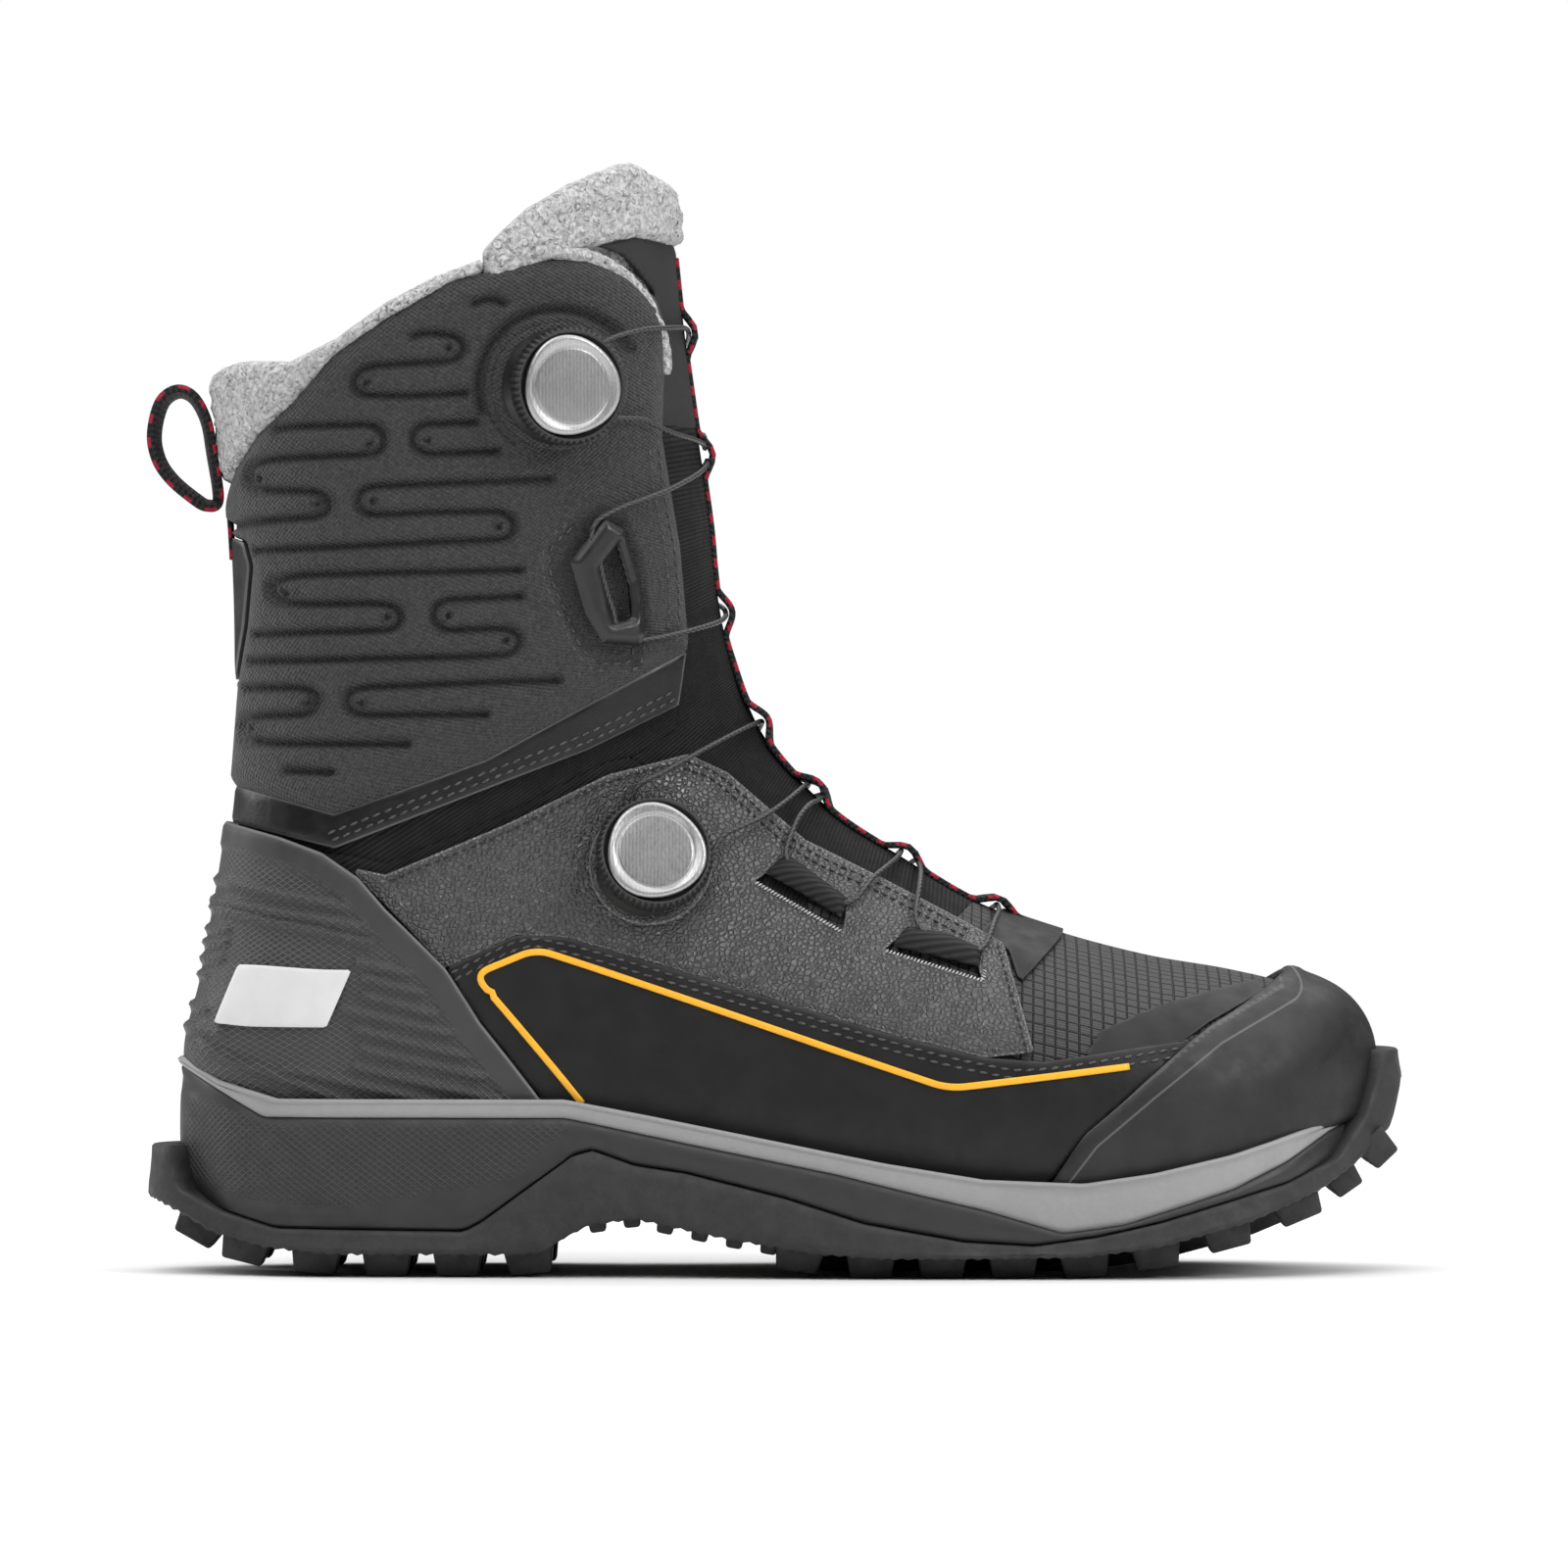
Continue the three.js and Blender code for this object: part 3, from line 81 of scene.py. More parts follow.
def smoothRows(rows, t):
    # a smooth curve through every row
    t = np.clip(t, 0, len(rows) - 1)
    i = np.minimum(t.astype(int), len(rows) - 2)
    w = (t - i)[..., None]
    ends = np.vstack([2 * rows[0] - rows[1], rows, 2 * rows[-1] - rows[-2]])
    p0, p1, p2, p3 = (ends[i + k] for k in range(4))
    m0, m1 = (p2 - p0) / 2, (p3 - p1) / 2
    return p1 + m0 * w + (3 * (p2 - p1) - 2 * m0 - m1) * w**2 + (2 * (p1 - p2) + m0 + m1) * w**3


def skin(t, a):
    # a point on the last at station t, turned by a from the front line; negative is the outer side
    t, a = np.broadcast_arrays(np.asarray(t, float), np.asarray(a, float))
    row = smoothRows(stations, t)
    roundness = np.where(np.cos(a) > 0, row[..., 7], row[..., 8])
    across = (1 - power(np.cos(a), roundness)) / 2
    share = (across ** (np.log(row[..., 6]) / math.log(0.5)))[..., None]
    side = row[..., 0:2] * (1 - share) + row[..., 2:4] * share
    y = row[..., 4] + row[..., 5] * power(np.sin(a), roundness)
    return np.stack([side[..., 0], y, side[..., 1]], -1)


def skinNormal(t, a):
    t = np.maximum(t, 0.06)
    up = skin(t + 0.05, a) - skin(t - 0.05, a)
    around = skin(t, a + 0.06) - skin(t, a - 0.06)
    n = np.cross(around, up)
    return n / np.linalg.norm(n, axis=-1, keepdims=True)


def offSkin(t, a, lift):
    return skin(t, a) + skinNormal(t, a) * np.asarray(lift)[..., None]


sampleCount = 500
sampleAngle = np.pi * np.sin(np.pi * np.linspace(0, 1, sampleCount) / 2) ** 2  # closer at the front and the back


def halfTurn(t):
    # arc length from the front line at each sample angle, at one station
    ring = skin(np.full(sampleCount, t), sampleAngle)
    return np.concatenate([[0], np.cumsum(np.linalg.norm(np.diff(ring, axis=0), axis=1))])


def angleAt(t, s):
    # s runs 0 to 1 from the front line to the back by arc length; below 0 and above 1 it is the outer side
    out = np.empty_like(s)
    arc = np.empty_like(s)
    for value in np.unique(t):
        pick = t == value
        lengths = halfTurn(value)
        here = s[pick]
        folded = np.where(here > 1, 2 - here, np.abs(here))
        angle = np.interp(folded * lengths[-1], lengths, sampleAngle)
        out[pick] = np.where(here > 1, 2 * np.pi - angle, np.sign(here) * angle)
        arc[pick] = here * lengths[-1]
    return out, arc


# side-view pattern lines, in millimetres: x forward, z up
featherLine = [
    [-51.5, 53.5], [-41.7, 48.1], [-27, 43.9], [44.2, 43.9], [63.8, 40.2], [98.1, 33.4], [122.7, 28.5],
    [147.2, 24.5], [171.7, 23.5], [188.9, 26], [208.5, 30.4], [225.7, 35.8], [243.3, 41.5],
]
bandLine = [
    [-52.7, 51.8], [-30.7, 39.5], [44.2, 39.5], [73.6, 33.4], [110.4, 26], [132.5, 20.6], [147.2, 17.2],
    [166.8, 11.4], [181.5, 13.5], [208.5, 22], [222, 28.5], [233, 35.5], [243.3, 40.5],
]
outsoleLine = [
    [-55.2, 31.9], [-54, 24.5], [-52.5, 21.3], [-41.8, 16], [-28, 12], [19.1, 11.4], [23.3, 13.6], [46, 30.2],
    [50.9, 31.5], [61.3, 27.8], [73.6, 26], [98.1, 19.9], [117.7, 13.7], [142.3, 9.3], [159.4, 8.3], [175, 10.5],
    [190.7, 14], [222, 23.1], [235.5, 28.9], [243, 40], [246, 50], [247.7, 55.7],
]
treadLine = [
    [-58.9, 18.9], [-52, 15.7], [-43.4, 10.8], [-30.4, 7.5], [-14.2, 5.9], [31.4, 5.9], [38.8, 6.6], [43.7, 9.9],
    [50, 13.2], [61.3, 14.8], [83.4, 10.1], [105.5, 6.4], [122.7, 5.2], [147.2, 5.2], [171.7, 5.6], [190.6, 8.1],
    [212.7, 14], [230.8, 21.6], [240.1, 28.1], [248.6, 36.3], [251.4, 47.6], [251.1, 52.5],
]
collarEdge = [
    [-41.2, 191.6], [-36.8, 200.2], [-30.7, 208.7], [-22.1, 216.1], [-12.3, 227.2], [0, 235.7], [17.2, 245.5],
    [34.3, 249.7], [49.1, 251.7], [58.9, 248], [65, 241.9], [67.5, 234.5],
]
fleeceEdge = [
    [-60, 223], [-43, 226.6], [-36.8, 228], [-24.5, 227.4], [-12.3, 232.9], [0, 241.6], [12.3, 248], [24.5, 252.5],
    [39.2, 255.2], [49.1, 255.2], [58.9, 252], [66, 244],
]
shaftFront = [[67.5, 234.5], [66.7, 207.5], [71.1, 180.5], [73.2, 156]]
panelFoot = [[72.9, 154.8], [24.5, 127.8], [-12.3, 114.3], [-39.2, 121.7]]
bandFoot = [[71.1, 141.3], [49.1, 130.3], [24.5, 120.4], [-12.3, 105.7], [-39.2, 112.3]]
stayFront = [[-39.4, 121.7], [-36.8, 146.2], [-33.9, 160.9], [-32.4, 176], [-34, 182], [-41, 185]]
counterEdge = [
    [-39.2, 112.3], [-24.5, 108.2], [-14.7, 104.5], [-6.1, 98.4], [0, 91], [14.7, 76.3], [23.3, 62.8], [38.8, 43.9],
]
quarterTop = [
    [-9, 101.2], [0, 99.3], [30, 112.2], [54, 124.1], [73.6, 129], [83.4, 124.1], [103, 107], [122.7, 97.1],
    [143.5, 86.1], [152.1, 81.2], [159.4, 55.4],
]
randTop = [
    [14.7, 76.3], [31.9, 84.4], [44.2, 83.6], [73.6, 75.1], [122.7, 60.3], [147.2, 54.2], [161.9, 53], [196.2, 57.4],
]
toeCapEdge = [
    [163.1, 24.5], [171.7, 35.8], [186.4, 48.1], [203.6, 61.6], [218, 69.5], [222.5, 72], [218.3, 80],
]
tongueTop = [[24, 244], [49.1, 253.6], [61.3, 257.1], [69.4, 256.1], [100, 256]]


def raised(line, dz):
    return [[x, z + dz] for x, z in line]


def below(line, start=-310, end=620):
    return [[start, -500], [end, -500], [end, line[-1][1]], *line[::-1], [start, line[0][1]]]


def above(line, start=-310, end=620):
    return [[start, 600], [start, line[0][1]], *line, [end, line[-1][1]], [end, 600]]


outlines = {
    "shaft": collarEdge + shaftFront[1:3] + [[73.2, 158]] + panelFoot + stayFront,
    "band": panelFoot + bandFoot[::-1],
    "stay": [[-39.2, 112.3], *stayFront, [-80, 186], [-80, 112.3]],
    "counter": [[-80, 112.3], *counterEdge, [38.8, 20], [-80, 20]],
    "rand": [[14.7, 76.3], *randTop[1:], [203.6, 61.6], [186.4, 48.1], [171.7, 35.8], [163.1, 24.5], [163, 10],
             [38.8, 10], [38.8, 43.9], [23.3, 62.8]],
    "quarter": [*quarterTop, [147.2, 54.2], [122.7, 60.3], [73.6, 75.1], [44.2, 83.6], [31.9, 84.4], [14.7, 76.3]],
    "toe": [*toeCapEdge, [270, 120], [270, 10], [163.1, 10]],
    "vampPatch": [[153.5, 80], [146.5, 84.5], [158.7, 95], [170, 90], [167, 83], [156, 72]],
    "heelPatch": [[-40, 62], [-14, 62], [-8, 76], [-34, 76]],
    "film": [[171.5, 54], [176, 60.5], [190, 66.2], [205, 70], [216.5, 72.5], [217, 69.5], [203, 62.3], [196.2, 57.8]],
    "gusset": [[66, 215], [66.7, 207.5], [71.1, 180.5], [73.2, 156], [71, 135], [60, 128], [95, 108], [103, 100],
               [135, 83], [149, 96], [150, 215]],
    "vamp": [[104, -20], [104, 98], [134, 82], [150, 100], [620, 100], [620, -20]],
    "tongueCloth": [[20, 200], [120, 200], [100, 262], *tongueTop[3::-1]],
    "tongue": [[44, 150], [120, 150], [100, 262], [73, 266], [68.7, 271.3], [60.1, 275.7], [47, 270], [36, 263.5],
               [29, 257.5], [24.5, 252.8], [24, 240], [38, 200]],
}


def distanceTo(points, outline):
    # signed distance in side view to a closed outline, negative inside
    outline = np.asarray(outline, float)
    best = np.full(len(points), 1e9)
    inside = np.zeros(len(points), bool)
    for p, q in zip(outline, np.roll(outline, -1, 0)):
        step = q - p
        if step @ step < 1e-9:
            continue
        w = points - p
        k = np.clip(w @ step / (step @ step), 0, 1)
        best = np.minimum(best, np.linalg.norm(w - k[:, None] * step, axis=1))
        crosses = (p[1] > points[:, 1]) != (q[1] > points[:, 1])
        with np.errstate(divide="ignore", invalid="ignore"):
            at = p[0] + (points[:, 1] - p[1]) * step[0] / step[1]
        inside ^= crosses & (points[:, 0] < at)
    return np.where(inside, -best, best)


def distanceToLine(points, line):
    # distance in side view to an open line
    line = np.asarray(line, float)
    best = np.full(len(points), 1e9)
    for p, q in zip(line[:-1], line[1:]):
        step = q - p
        w = points - p
        k = np.clip(w @ step / max(step @ step, 1e-9), 0, 1)
        best = np.minimum(best, np.linalg.norm(w - k[:, None] * step, axis=1))
    return best


def roundedLine(line, spacing=1.5):
    # the line resampled on a smooth curve
    line = np.asarray(line, float)
    fine = smoothRows(line, np.linspace(0, len(line) - 1, 24 * len(line))) if len(line) > 2 else line
    lengths = np.concatenate([[0], np.cumsum(np.linalg.norm(np.diff(fine, axis=0), axis=1))])
    count = max(2, int(lengths[-1] / spacing) + 1)
    marks = np.linspace(0, lengths[-1], count)
    return np.stack([np.interp(marks, lengths, fine[:, k]) for k in range(fine.shape[1])], 1)


def region(*parts):
    # several outlines at once: ("in", outline) keeps the inside, ("out", outline) keeps the outside
    def level(points):
        values = [distanceTo(points, o) if how == "in" else -distanceTo(points, o) for how, o in parts]
        return np.max(values, axis=0)
    return level


# from side view to the skin
lookup = {"stations": 437, "around": 181}
lookupT = np.repeat(np.linspace(0.2, lastStation, lookup["stations"]), lookup["around"])
lookupS = np.tile(np.linspace(0.004, 0.996, lookup["around"]), lookup["stations"])
lookupA, _ = angleAt(lookupT, lookupS)
lookupTree = {}
for sideSign in (-1, 1):
    spots = skin(lookupT, sideSign * lookupA)
    tree = kdtree.KDTree(len(spots))
    for i, p in enumerate(spots):
        tree.insert((p[0], 0, p[2]), i)
    tree.balance()
    lookupTree[sideSign] = tree


def locate(points, side):
    # the stations and angles of side-view points on the outer (-1) or inner (1) side
    found = [lookupTree[side].find((x, 0, z))[1] for x, z in points]
    t, a = lookupT[found].copy(), side * lookupA[found]
    target = np.asarray(points, float)
    for _ in range(4):
        here = skin(t, a)[:, [0, 2]]
        dt = (skin(t + 0.01, a)[:, [0, 2]] - here) / 0.01
        da = (skin(t, a + 0.01)[:, [0, 2]] - here) / 0.01
        miss = target - here
        det = dt[:, 0] * da[:, 1] - dt[:, 1] * da[:, 0]
        safe = np.where(np.abs(det) < 8, np.inf, det)
        moveT = (miss[:, 0] * da[:, 1] - miss[:, 1] * da[:, 0]) / safe
        moveA = (dt[:, 0] * miss[:, 1] - dt[:, 1] * miss[:, 0]) / safe
        t = np.clip(t + np.clip(moveT, -0.1, 0.1), 0.1, lastStation)
        a = a + np.clip(moveA, -0.05, 0.05)
    return t, a


print("last and patterns ready")

# mesh helpers; shapes are worked in millimetres and written in metres

def finishPiece(name, bm, material, nodes, rides="boot", uv=None, values=None, modifiers=()):
    # a bmesh in millimetres made into a finished piece that stands for its CAD nodes
    bmesh.ops.scale(bm, vec=(mm, mm, mm), verts=bm.verts)
    mesh = bpy.data.meshes.new(name)
    bm.to_mesh(mesh)
    bm.free()
    mesh.shade_smooth()
    if uv is not None:
        layer = mesh.uv_layers.new(name="UVMap")
        corner = np.empty(len(mesh.loops), np.int32)
        mesh.loops.foreach_get("vertex_index", corner)
        layer.data.foreach_set("uv", np.asarray(uv, np.float32)[corner].ravel())
    for key, data in (values or {}).items():
        attribute = mesh.attributes.new(key, "FLOAT", "POINT")
        attribute.data.foreach_set("value", np.asarray(data, np.float32))
    piece = bpy.data.objects.new(name, mesh)
    bpy.context.scene.collection.objects.link(piece)
    mesh.materials.append(material)
    for kind, settings in modifiers:
        modifier = piece.modifiers.new(kind.title(), kind)
        for key, value in settings.items():
            setattr(modifier, key, value)
    if nodes:
        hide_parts(*nodes)
    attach(piece, rides)
    return piece


def outward(bm):
    bmesh.ops.recalc_face_normals(bm, faces=bm.faces)
    if bm.calc_volume(signed=True) < 0:
        bmesh.ops.reverse_faces(bm, faces=bm.faces)


def gridOf(bm, points, closeU=False, closeV=False):
    # a grid laid through points[u][v]; closed directions are welded
    points = np.asarray(points, float)
    if closeU:
        points = np.concatenate([points, points[:1]], 0)
    if closeV:
        points = np.concatenate([points, points[:, :1]], 1)
    nu, nv = points.shape[:2]
    made = bmesh.ops.create_grid(bm, x_segments=nu - 1, y_segments=nv - 1, size=1)["verts"]
    for v in made:
        i = round((v.co.x + 1) / 2 * (nu - 1))
        j = round((v.co.y + 1) / 2 * (nv - 1))
        v.co = points[i, j]
    bmesh.ops.remove_doubles(bm, verts=made, dist=1e-4)


def capEnds(bm):
    bmesh.ops.holes_fill(bm, edges=[e for e in bm.edges if e.is_boundary], sides=0)


def sweptGrid(centres, normals, section, closed=False):
    # a cross-section of (across, up) points carried along centres; up follows normals
    centres, normals, section = (np.asarray(values, float) for values in (centres, normals, section))
    ahead = np.roll(centres, -1, 0) - np.roll(centres, 1, 0) if closed else np.gradient(centres, axis=0)
    ahead /= np.linalg.norm(ahead, axis=1, keepdims=True)
    across = np.cross(ahead, normals)
    across /= np.linalg.norm(across, axis=1, keepdims=True)
    up = np.cross(across, ahead)
    return centres[:, None] + across[:, None] * section[None, :, :1] + up[:, None] * section[None, :, 1:]


def sweep(centres, normals, section):
    bm = bmesh.new()
    gridOf(bm, sweptGrid(centres, normals, section), closeV=True)
    capEnds(bm)
    outward(bm)
    return bm


def roundSection(radius, sides=10):
    turn = np.linspace(0, 2 * np.pi, sides, endpoint=False)
    return np.stack([radius * np.cos(turn), radius * np.sin(turn)], 1)


def strapSection(width, thick, corner):
    # a flat strap lying on its surface, with three points round each corner
    half, points = width / 2, []
    for cx, cy, start in ((half, thick, 0), (-half, thick, 90), (-half, 0, 180), (half, 0, 270)):
        for turned in (0, 45, 90):
            turn = math.radians(start + turned)
            sx, sy = math.copysign(corner, cx), (corner if cy else -corner)
            points.append((cx - sx + corner * math.cos(turn), cy - sy + corner * math.sin(turn)))
    return points


def join(bms):
    whole = bmesh.new()
    for part in bms:
        mesh = bpy.data.meshes.new("part")
        part.to_mesh(mesh)
        part.free()
        whole.from_mesh(mesh)
        bpy.data.meshes.remove(mesh)
    return whole


# panels: a layer of the upper, laid on the last and cut along its pattern lines
spans = {"outer": (-1, 0, -1), "inner": (0, 1, 1), "front": (-1, 1, 0), "back": (0, 2, 0)}


def panelSheet(level, side, spacing, shares=None):
    # the part of the last inside a region of the side view, as an open sheet with its stations and angles
    lo, hi, sign = spans[side]
    if shares:
        lo, hi = shares
    probes = np.meshgrid(np.linspace(0.02, lastStation, 260), np.linspace(lo, hi, 120))
    probeT, probeS = (g.ravel() for g in probes)
    order = np.argsort(probeT, kind="stable")
    probeT, probeS = probeT[order], probeS[order]
    probeA, _ = angleAt(probeT, probeS)
    spots = skin(probeT, probeA)
    kept = level(spots[:, [0, 2]]) < spacing
    t0, t1 = max(0.0, probeT[kept].min() - 0.1), min(lastStation, probeT[kept].max() + 0.1)
    width = np.abs(hi - lo) * max(halfTurn(t)[-1] for t in np.linspace(t0, t1, 12))
    across = max(4, int(width / spacing))
    # stations are spread so that no two rows are further apart than the spacing
    fine = np.linspace(t0, t1, 1200)
    reach = np.zeros(len(fine) - 1)
    for a in np.linspace(0.05, np.pi - 0.05, 5):
        reach = np.maximum(reach, np.linalg.norm(np.diff(skin(fine, a), axis=0), axis=1))
    travel = np.concatenate([[0], np.cumsum(reach)])
    rows = max(4, int(travel[-1] / spacing))
    ts = np.interp(np.linspace(0, travel[-1], rows + 1), travel, fine)
    ss = np.linspace(lo, hi, across + 1)
    gridT, gridS = np.repeat(ts, across + 1), np.tile(ss, rows + 1)
    gridA, gridArc = angleAt(gridT, gridS)
    gridP = skin(gridT, gridA)
    values = level(gridP[:, [0, 2]])
    bm = bmesh.new()
    names = ("t", "a", "arc", "level")
    for name in names:
        bm.verts.layers.float.new(name)
    layers = lt, la, larc, lv = [bm.verts.layers.float[name] for name in names]
    made = bmesh.ops.create_grid(bm, x_segments=rows, y_segments=across, size=1)["verts"]
    for v in made:
        k = round((v.co.x + 1) / 2 * rows) * (across + 1) + round((v.co.y + 1) / 2 * across)
        v.co = gridP[k]
        for layer, data in zip(layers, (gridT, gridA, gridArc, values)):
            v[layer] = data[k]
    far = [v for v in bm.verts if v[lv] > 3 * spacing]
    bmesh.ops.delete(bm, geom=far, context="VERTS")
    # vertices close to the cut move onto it, then the edges that still cross it are split
    snap = 0.18
    for e in bm.edges:
        a, b = e.verts
        if (a[lv] < 0) != (b[lv] < 0):
            share = a[lv] / (a[lv] - b[lv])
            for v, w, k in ((a, b, share), (b, a, 1 - share)):
                if 0 < k < snap and v[lv] != 0:
                    for layer in (lt, la, larc):
                        v[layer] = v[layer] * (1 - k) + w[layer] * k
                    v.co = v.co.lerp(w.co, k)
                    v[lv] = 0.0
                    break
    onCut = [v for v in bm.verts if v[lv] == 0.0]
    for e in list(bm.edges):
        a, b = e.verts
        if a[lv] * b[lv] < 0:
            _, v = bmesh.utils.edge_split(e, a, a[lv] / (a[lv] - b[lv]))
            v[lv] = 0.0
            onCut.append(v)
    bmesh.ops.connect_verts(bm, verts=onCut)
    outside = [f for f in bm.faces if sum(v[lv] for v in f.verts) > 0 or all(v[lv] == 0 for v in f.verts)]
    bmesh.ops.delete(bm, geom=outside, context="FACES")
    loose = [v for v in bm.verts if not v.link_faces]
    bmesh.ops.delete(bm, geom=loose, context="VERTS")
    return bm


def biggestPart(bm):
    # drops the crumbs that a cut leaves
    unseen, parts = set(bm.verts), []
    while unseen:
        stack, part = [unseen.pop()], []
        while stack:
            v = stack.pop()
            part.append(v)
            for e in v.link_edges:
                w = e.other_vert(v)
                if w in unseen:
                    unseen.discard(w)
                    stack.append(w)
        parts.append(part)
    parts.sort(key=len)
    for part in parts[:-1]:
        bmesh.ops.delete(bm, geom=part, context="VERTS")


def layPanel(name, nodes, finish, settings):
    # one panel: a cut sheet raised to its layer, shaped by its relief, then given its thickness
    level = settings["level"]
    bm = panelSheet(level, settings["side"], settings["spacing"], settings.get("shares"))
    biggestPart(bm)
    lt, la, larc = (bm.verts.layers.float[n] for n in ("t", "a", "arc"))
    t = np.array([v[lt] for v in bm.verts])
    a = np.array([v[la] for v in bm.verts])
    arc = np.array([v[larc] for v in bm.verts])
    bare = skin(t, a)
    inside = np.maximum(0, -level(bare[:, [0, 2]]))
    lift = np.full(len(t), float(settings["top"]))
    facts = {"x": bare[:, 0], "y": bare[:, 1], "z": bare[:, 2], "t": t, "a": a, "arc": arc, "inside": inside}
    if "roll" in settings:
        roll, drop = settings["roll"], settings["drop"]
        lift -= drop * (1 - np.clip(inside / roll, 0, 1)) ** 2
    if "relief" in settings:
        lift += settings["relief"](facts)
    for v, p in zip(bm.verts, offSkin(t, a, lift)):
        v.co = p
    bm.normal_update()
    wanted = skinNormal(t, a)
    bm.verts.index_update()
    agree = sum(f.normal.dot(Vector(wanted[f.verts[0].index])) for f in bm.faces)
    if agree < 0:
        bmesh.ops.reverse_faces(bm, faces=bm.faces)
    uv = np.stack(settings["weave"](facts), 1)
    modifiers = [("SOLIDIFY", {"thickness": settings["thick"] * mm, "offset": -1, "use_rim": True})]
    if "edge" in settings:
        modifiers.append(("BEVEL", {"width": settings["edge"] * mm, "segments": 2, "limit_method": "ANGLE",
                                    "angle_limit": math.radians(50), "profile": 0.5}))
    return finishPiece(name, bm, finishes[finish], nodes, uv=uv, values={"inside": inside}, modifiers=modifiers)


# how far a station is along the foot or up the shaft, for weaves that follow the panel
stationTravel = np.concatenate([[0], np.cumsum([
    np.linalg.norm(skin(t + 1, np.pi / 2) - skin(t, np.pi / 2)) for t in range(lastStation)])])


def followUv(facts):
    return facts["arc"], np.interp(facts["t"], np.arange(lastStation + 1), stationTravel)


def sideUv(facts):
    return facts["x"], facts["z"]


def heelUv(facts):
    # wraps round the heel
    around = np.arctan2(facts["y"], facts["x"] - 12) * 42
    return np.where(around > 0, around - 264, around), facts["z"]


# stitches, piping and anything else that runs along a line on the upper
def routeOnSkin(line, side, lift, spacing=1.5, smooth=True):
    points = roundedLine(line, spacing) if smooth else np.asarray(line, float)
    t, a = locate(points, side)
    return offSkin(t, a, lift), skinNormal(t, a)


def cumulative(points):
    return np.concatenate([[0], np.cumsum(np.linalg.norm(np.diff(points, axis=0), axis=1))])


def resample(points, normals, pitch):
    lengths = cumulative(points)
    marks = np.arange(pitch / 2, lengths[-1], pitch)
    spot = np.stack([np.interp(marks, lengths, points[:, k]) for k in range(3)], 1)
    out = np.stack([np.interp(marks, lengths, normals[:, k]) for k in range(3)], 1)
    ends = [np.stack([np.interp(marks + step, lengths, points[:, k]) for k in range(3)], 1) for step in (0.3, -0.3)]
    return spot, out, ends[0] - ends[1]


def stitchRow(line, side, lift, look, smooth=True):
    # one row of sewn stitches as small rounded beads
    points, normals = routeOnSkin(line, side, lift, 1.0, smooth)
    spots, outs, aheads = resample(points, normals, look["pitch"])
    bm = bmesh.new()
    for p, n, f in zip(spots, outs, aheads):
        forward = Vector(f).normalized()
        up = Vector(n).normalized()
        sideways = up.cross(forward).normalized()
        up = forward.cross(sideways)
        twist = Matrix.Rotation(look.get("slant", 0), 3, up)
        turn = twist @ Matrix((forward, sideways, up)).transposed()
        size = Matrix.Diagonal((look["length"] / 2, look["width"] / 2, look["width"] * 0.38))
        place = Matrix.Translation(Vector(p)) @ (turn @ size).to_4x4()
        bmesh.ops.create_uvsphere(bm, u_segments=6, v_segments=4, radius=1, matrix=place)
    return bm


def movedLine(line, distance):
    # the pattern line moved sideways in side view, to its left when distance is positive
    points = roundedLine(line, 1.5)
    ahead = np.gradient(points, axis=0)
    ahead /= np.linalg.norm(ahead, axis=1, keepdims=True)
    return points + distance * np.stack([-ahead[:, 1], ahead[:, 0]], 1)


def declareSheet(piece):
    # reads the weave's own map, in millimetres, and does nothing more with it
    mesh = piece.data
    spots = np.empty(len(mesh.loops) * 2)
    mesh.uv_layers.active.data.foreach_get("uv", spots)


print("tools ready")

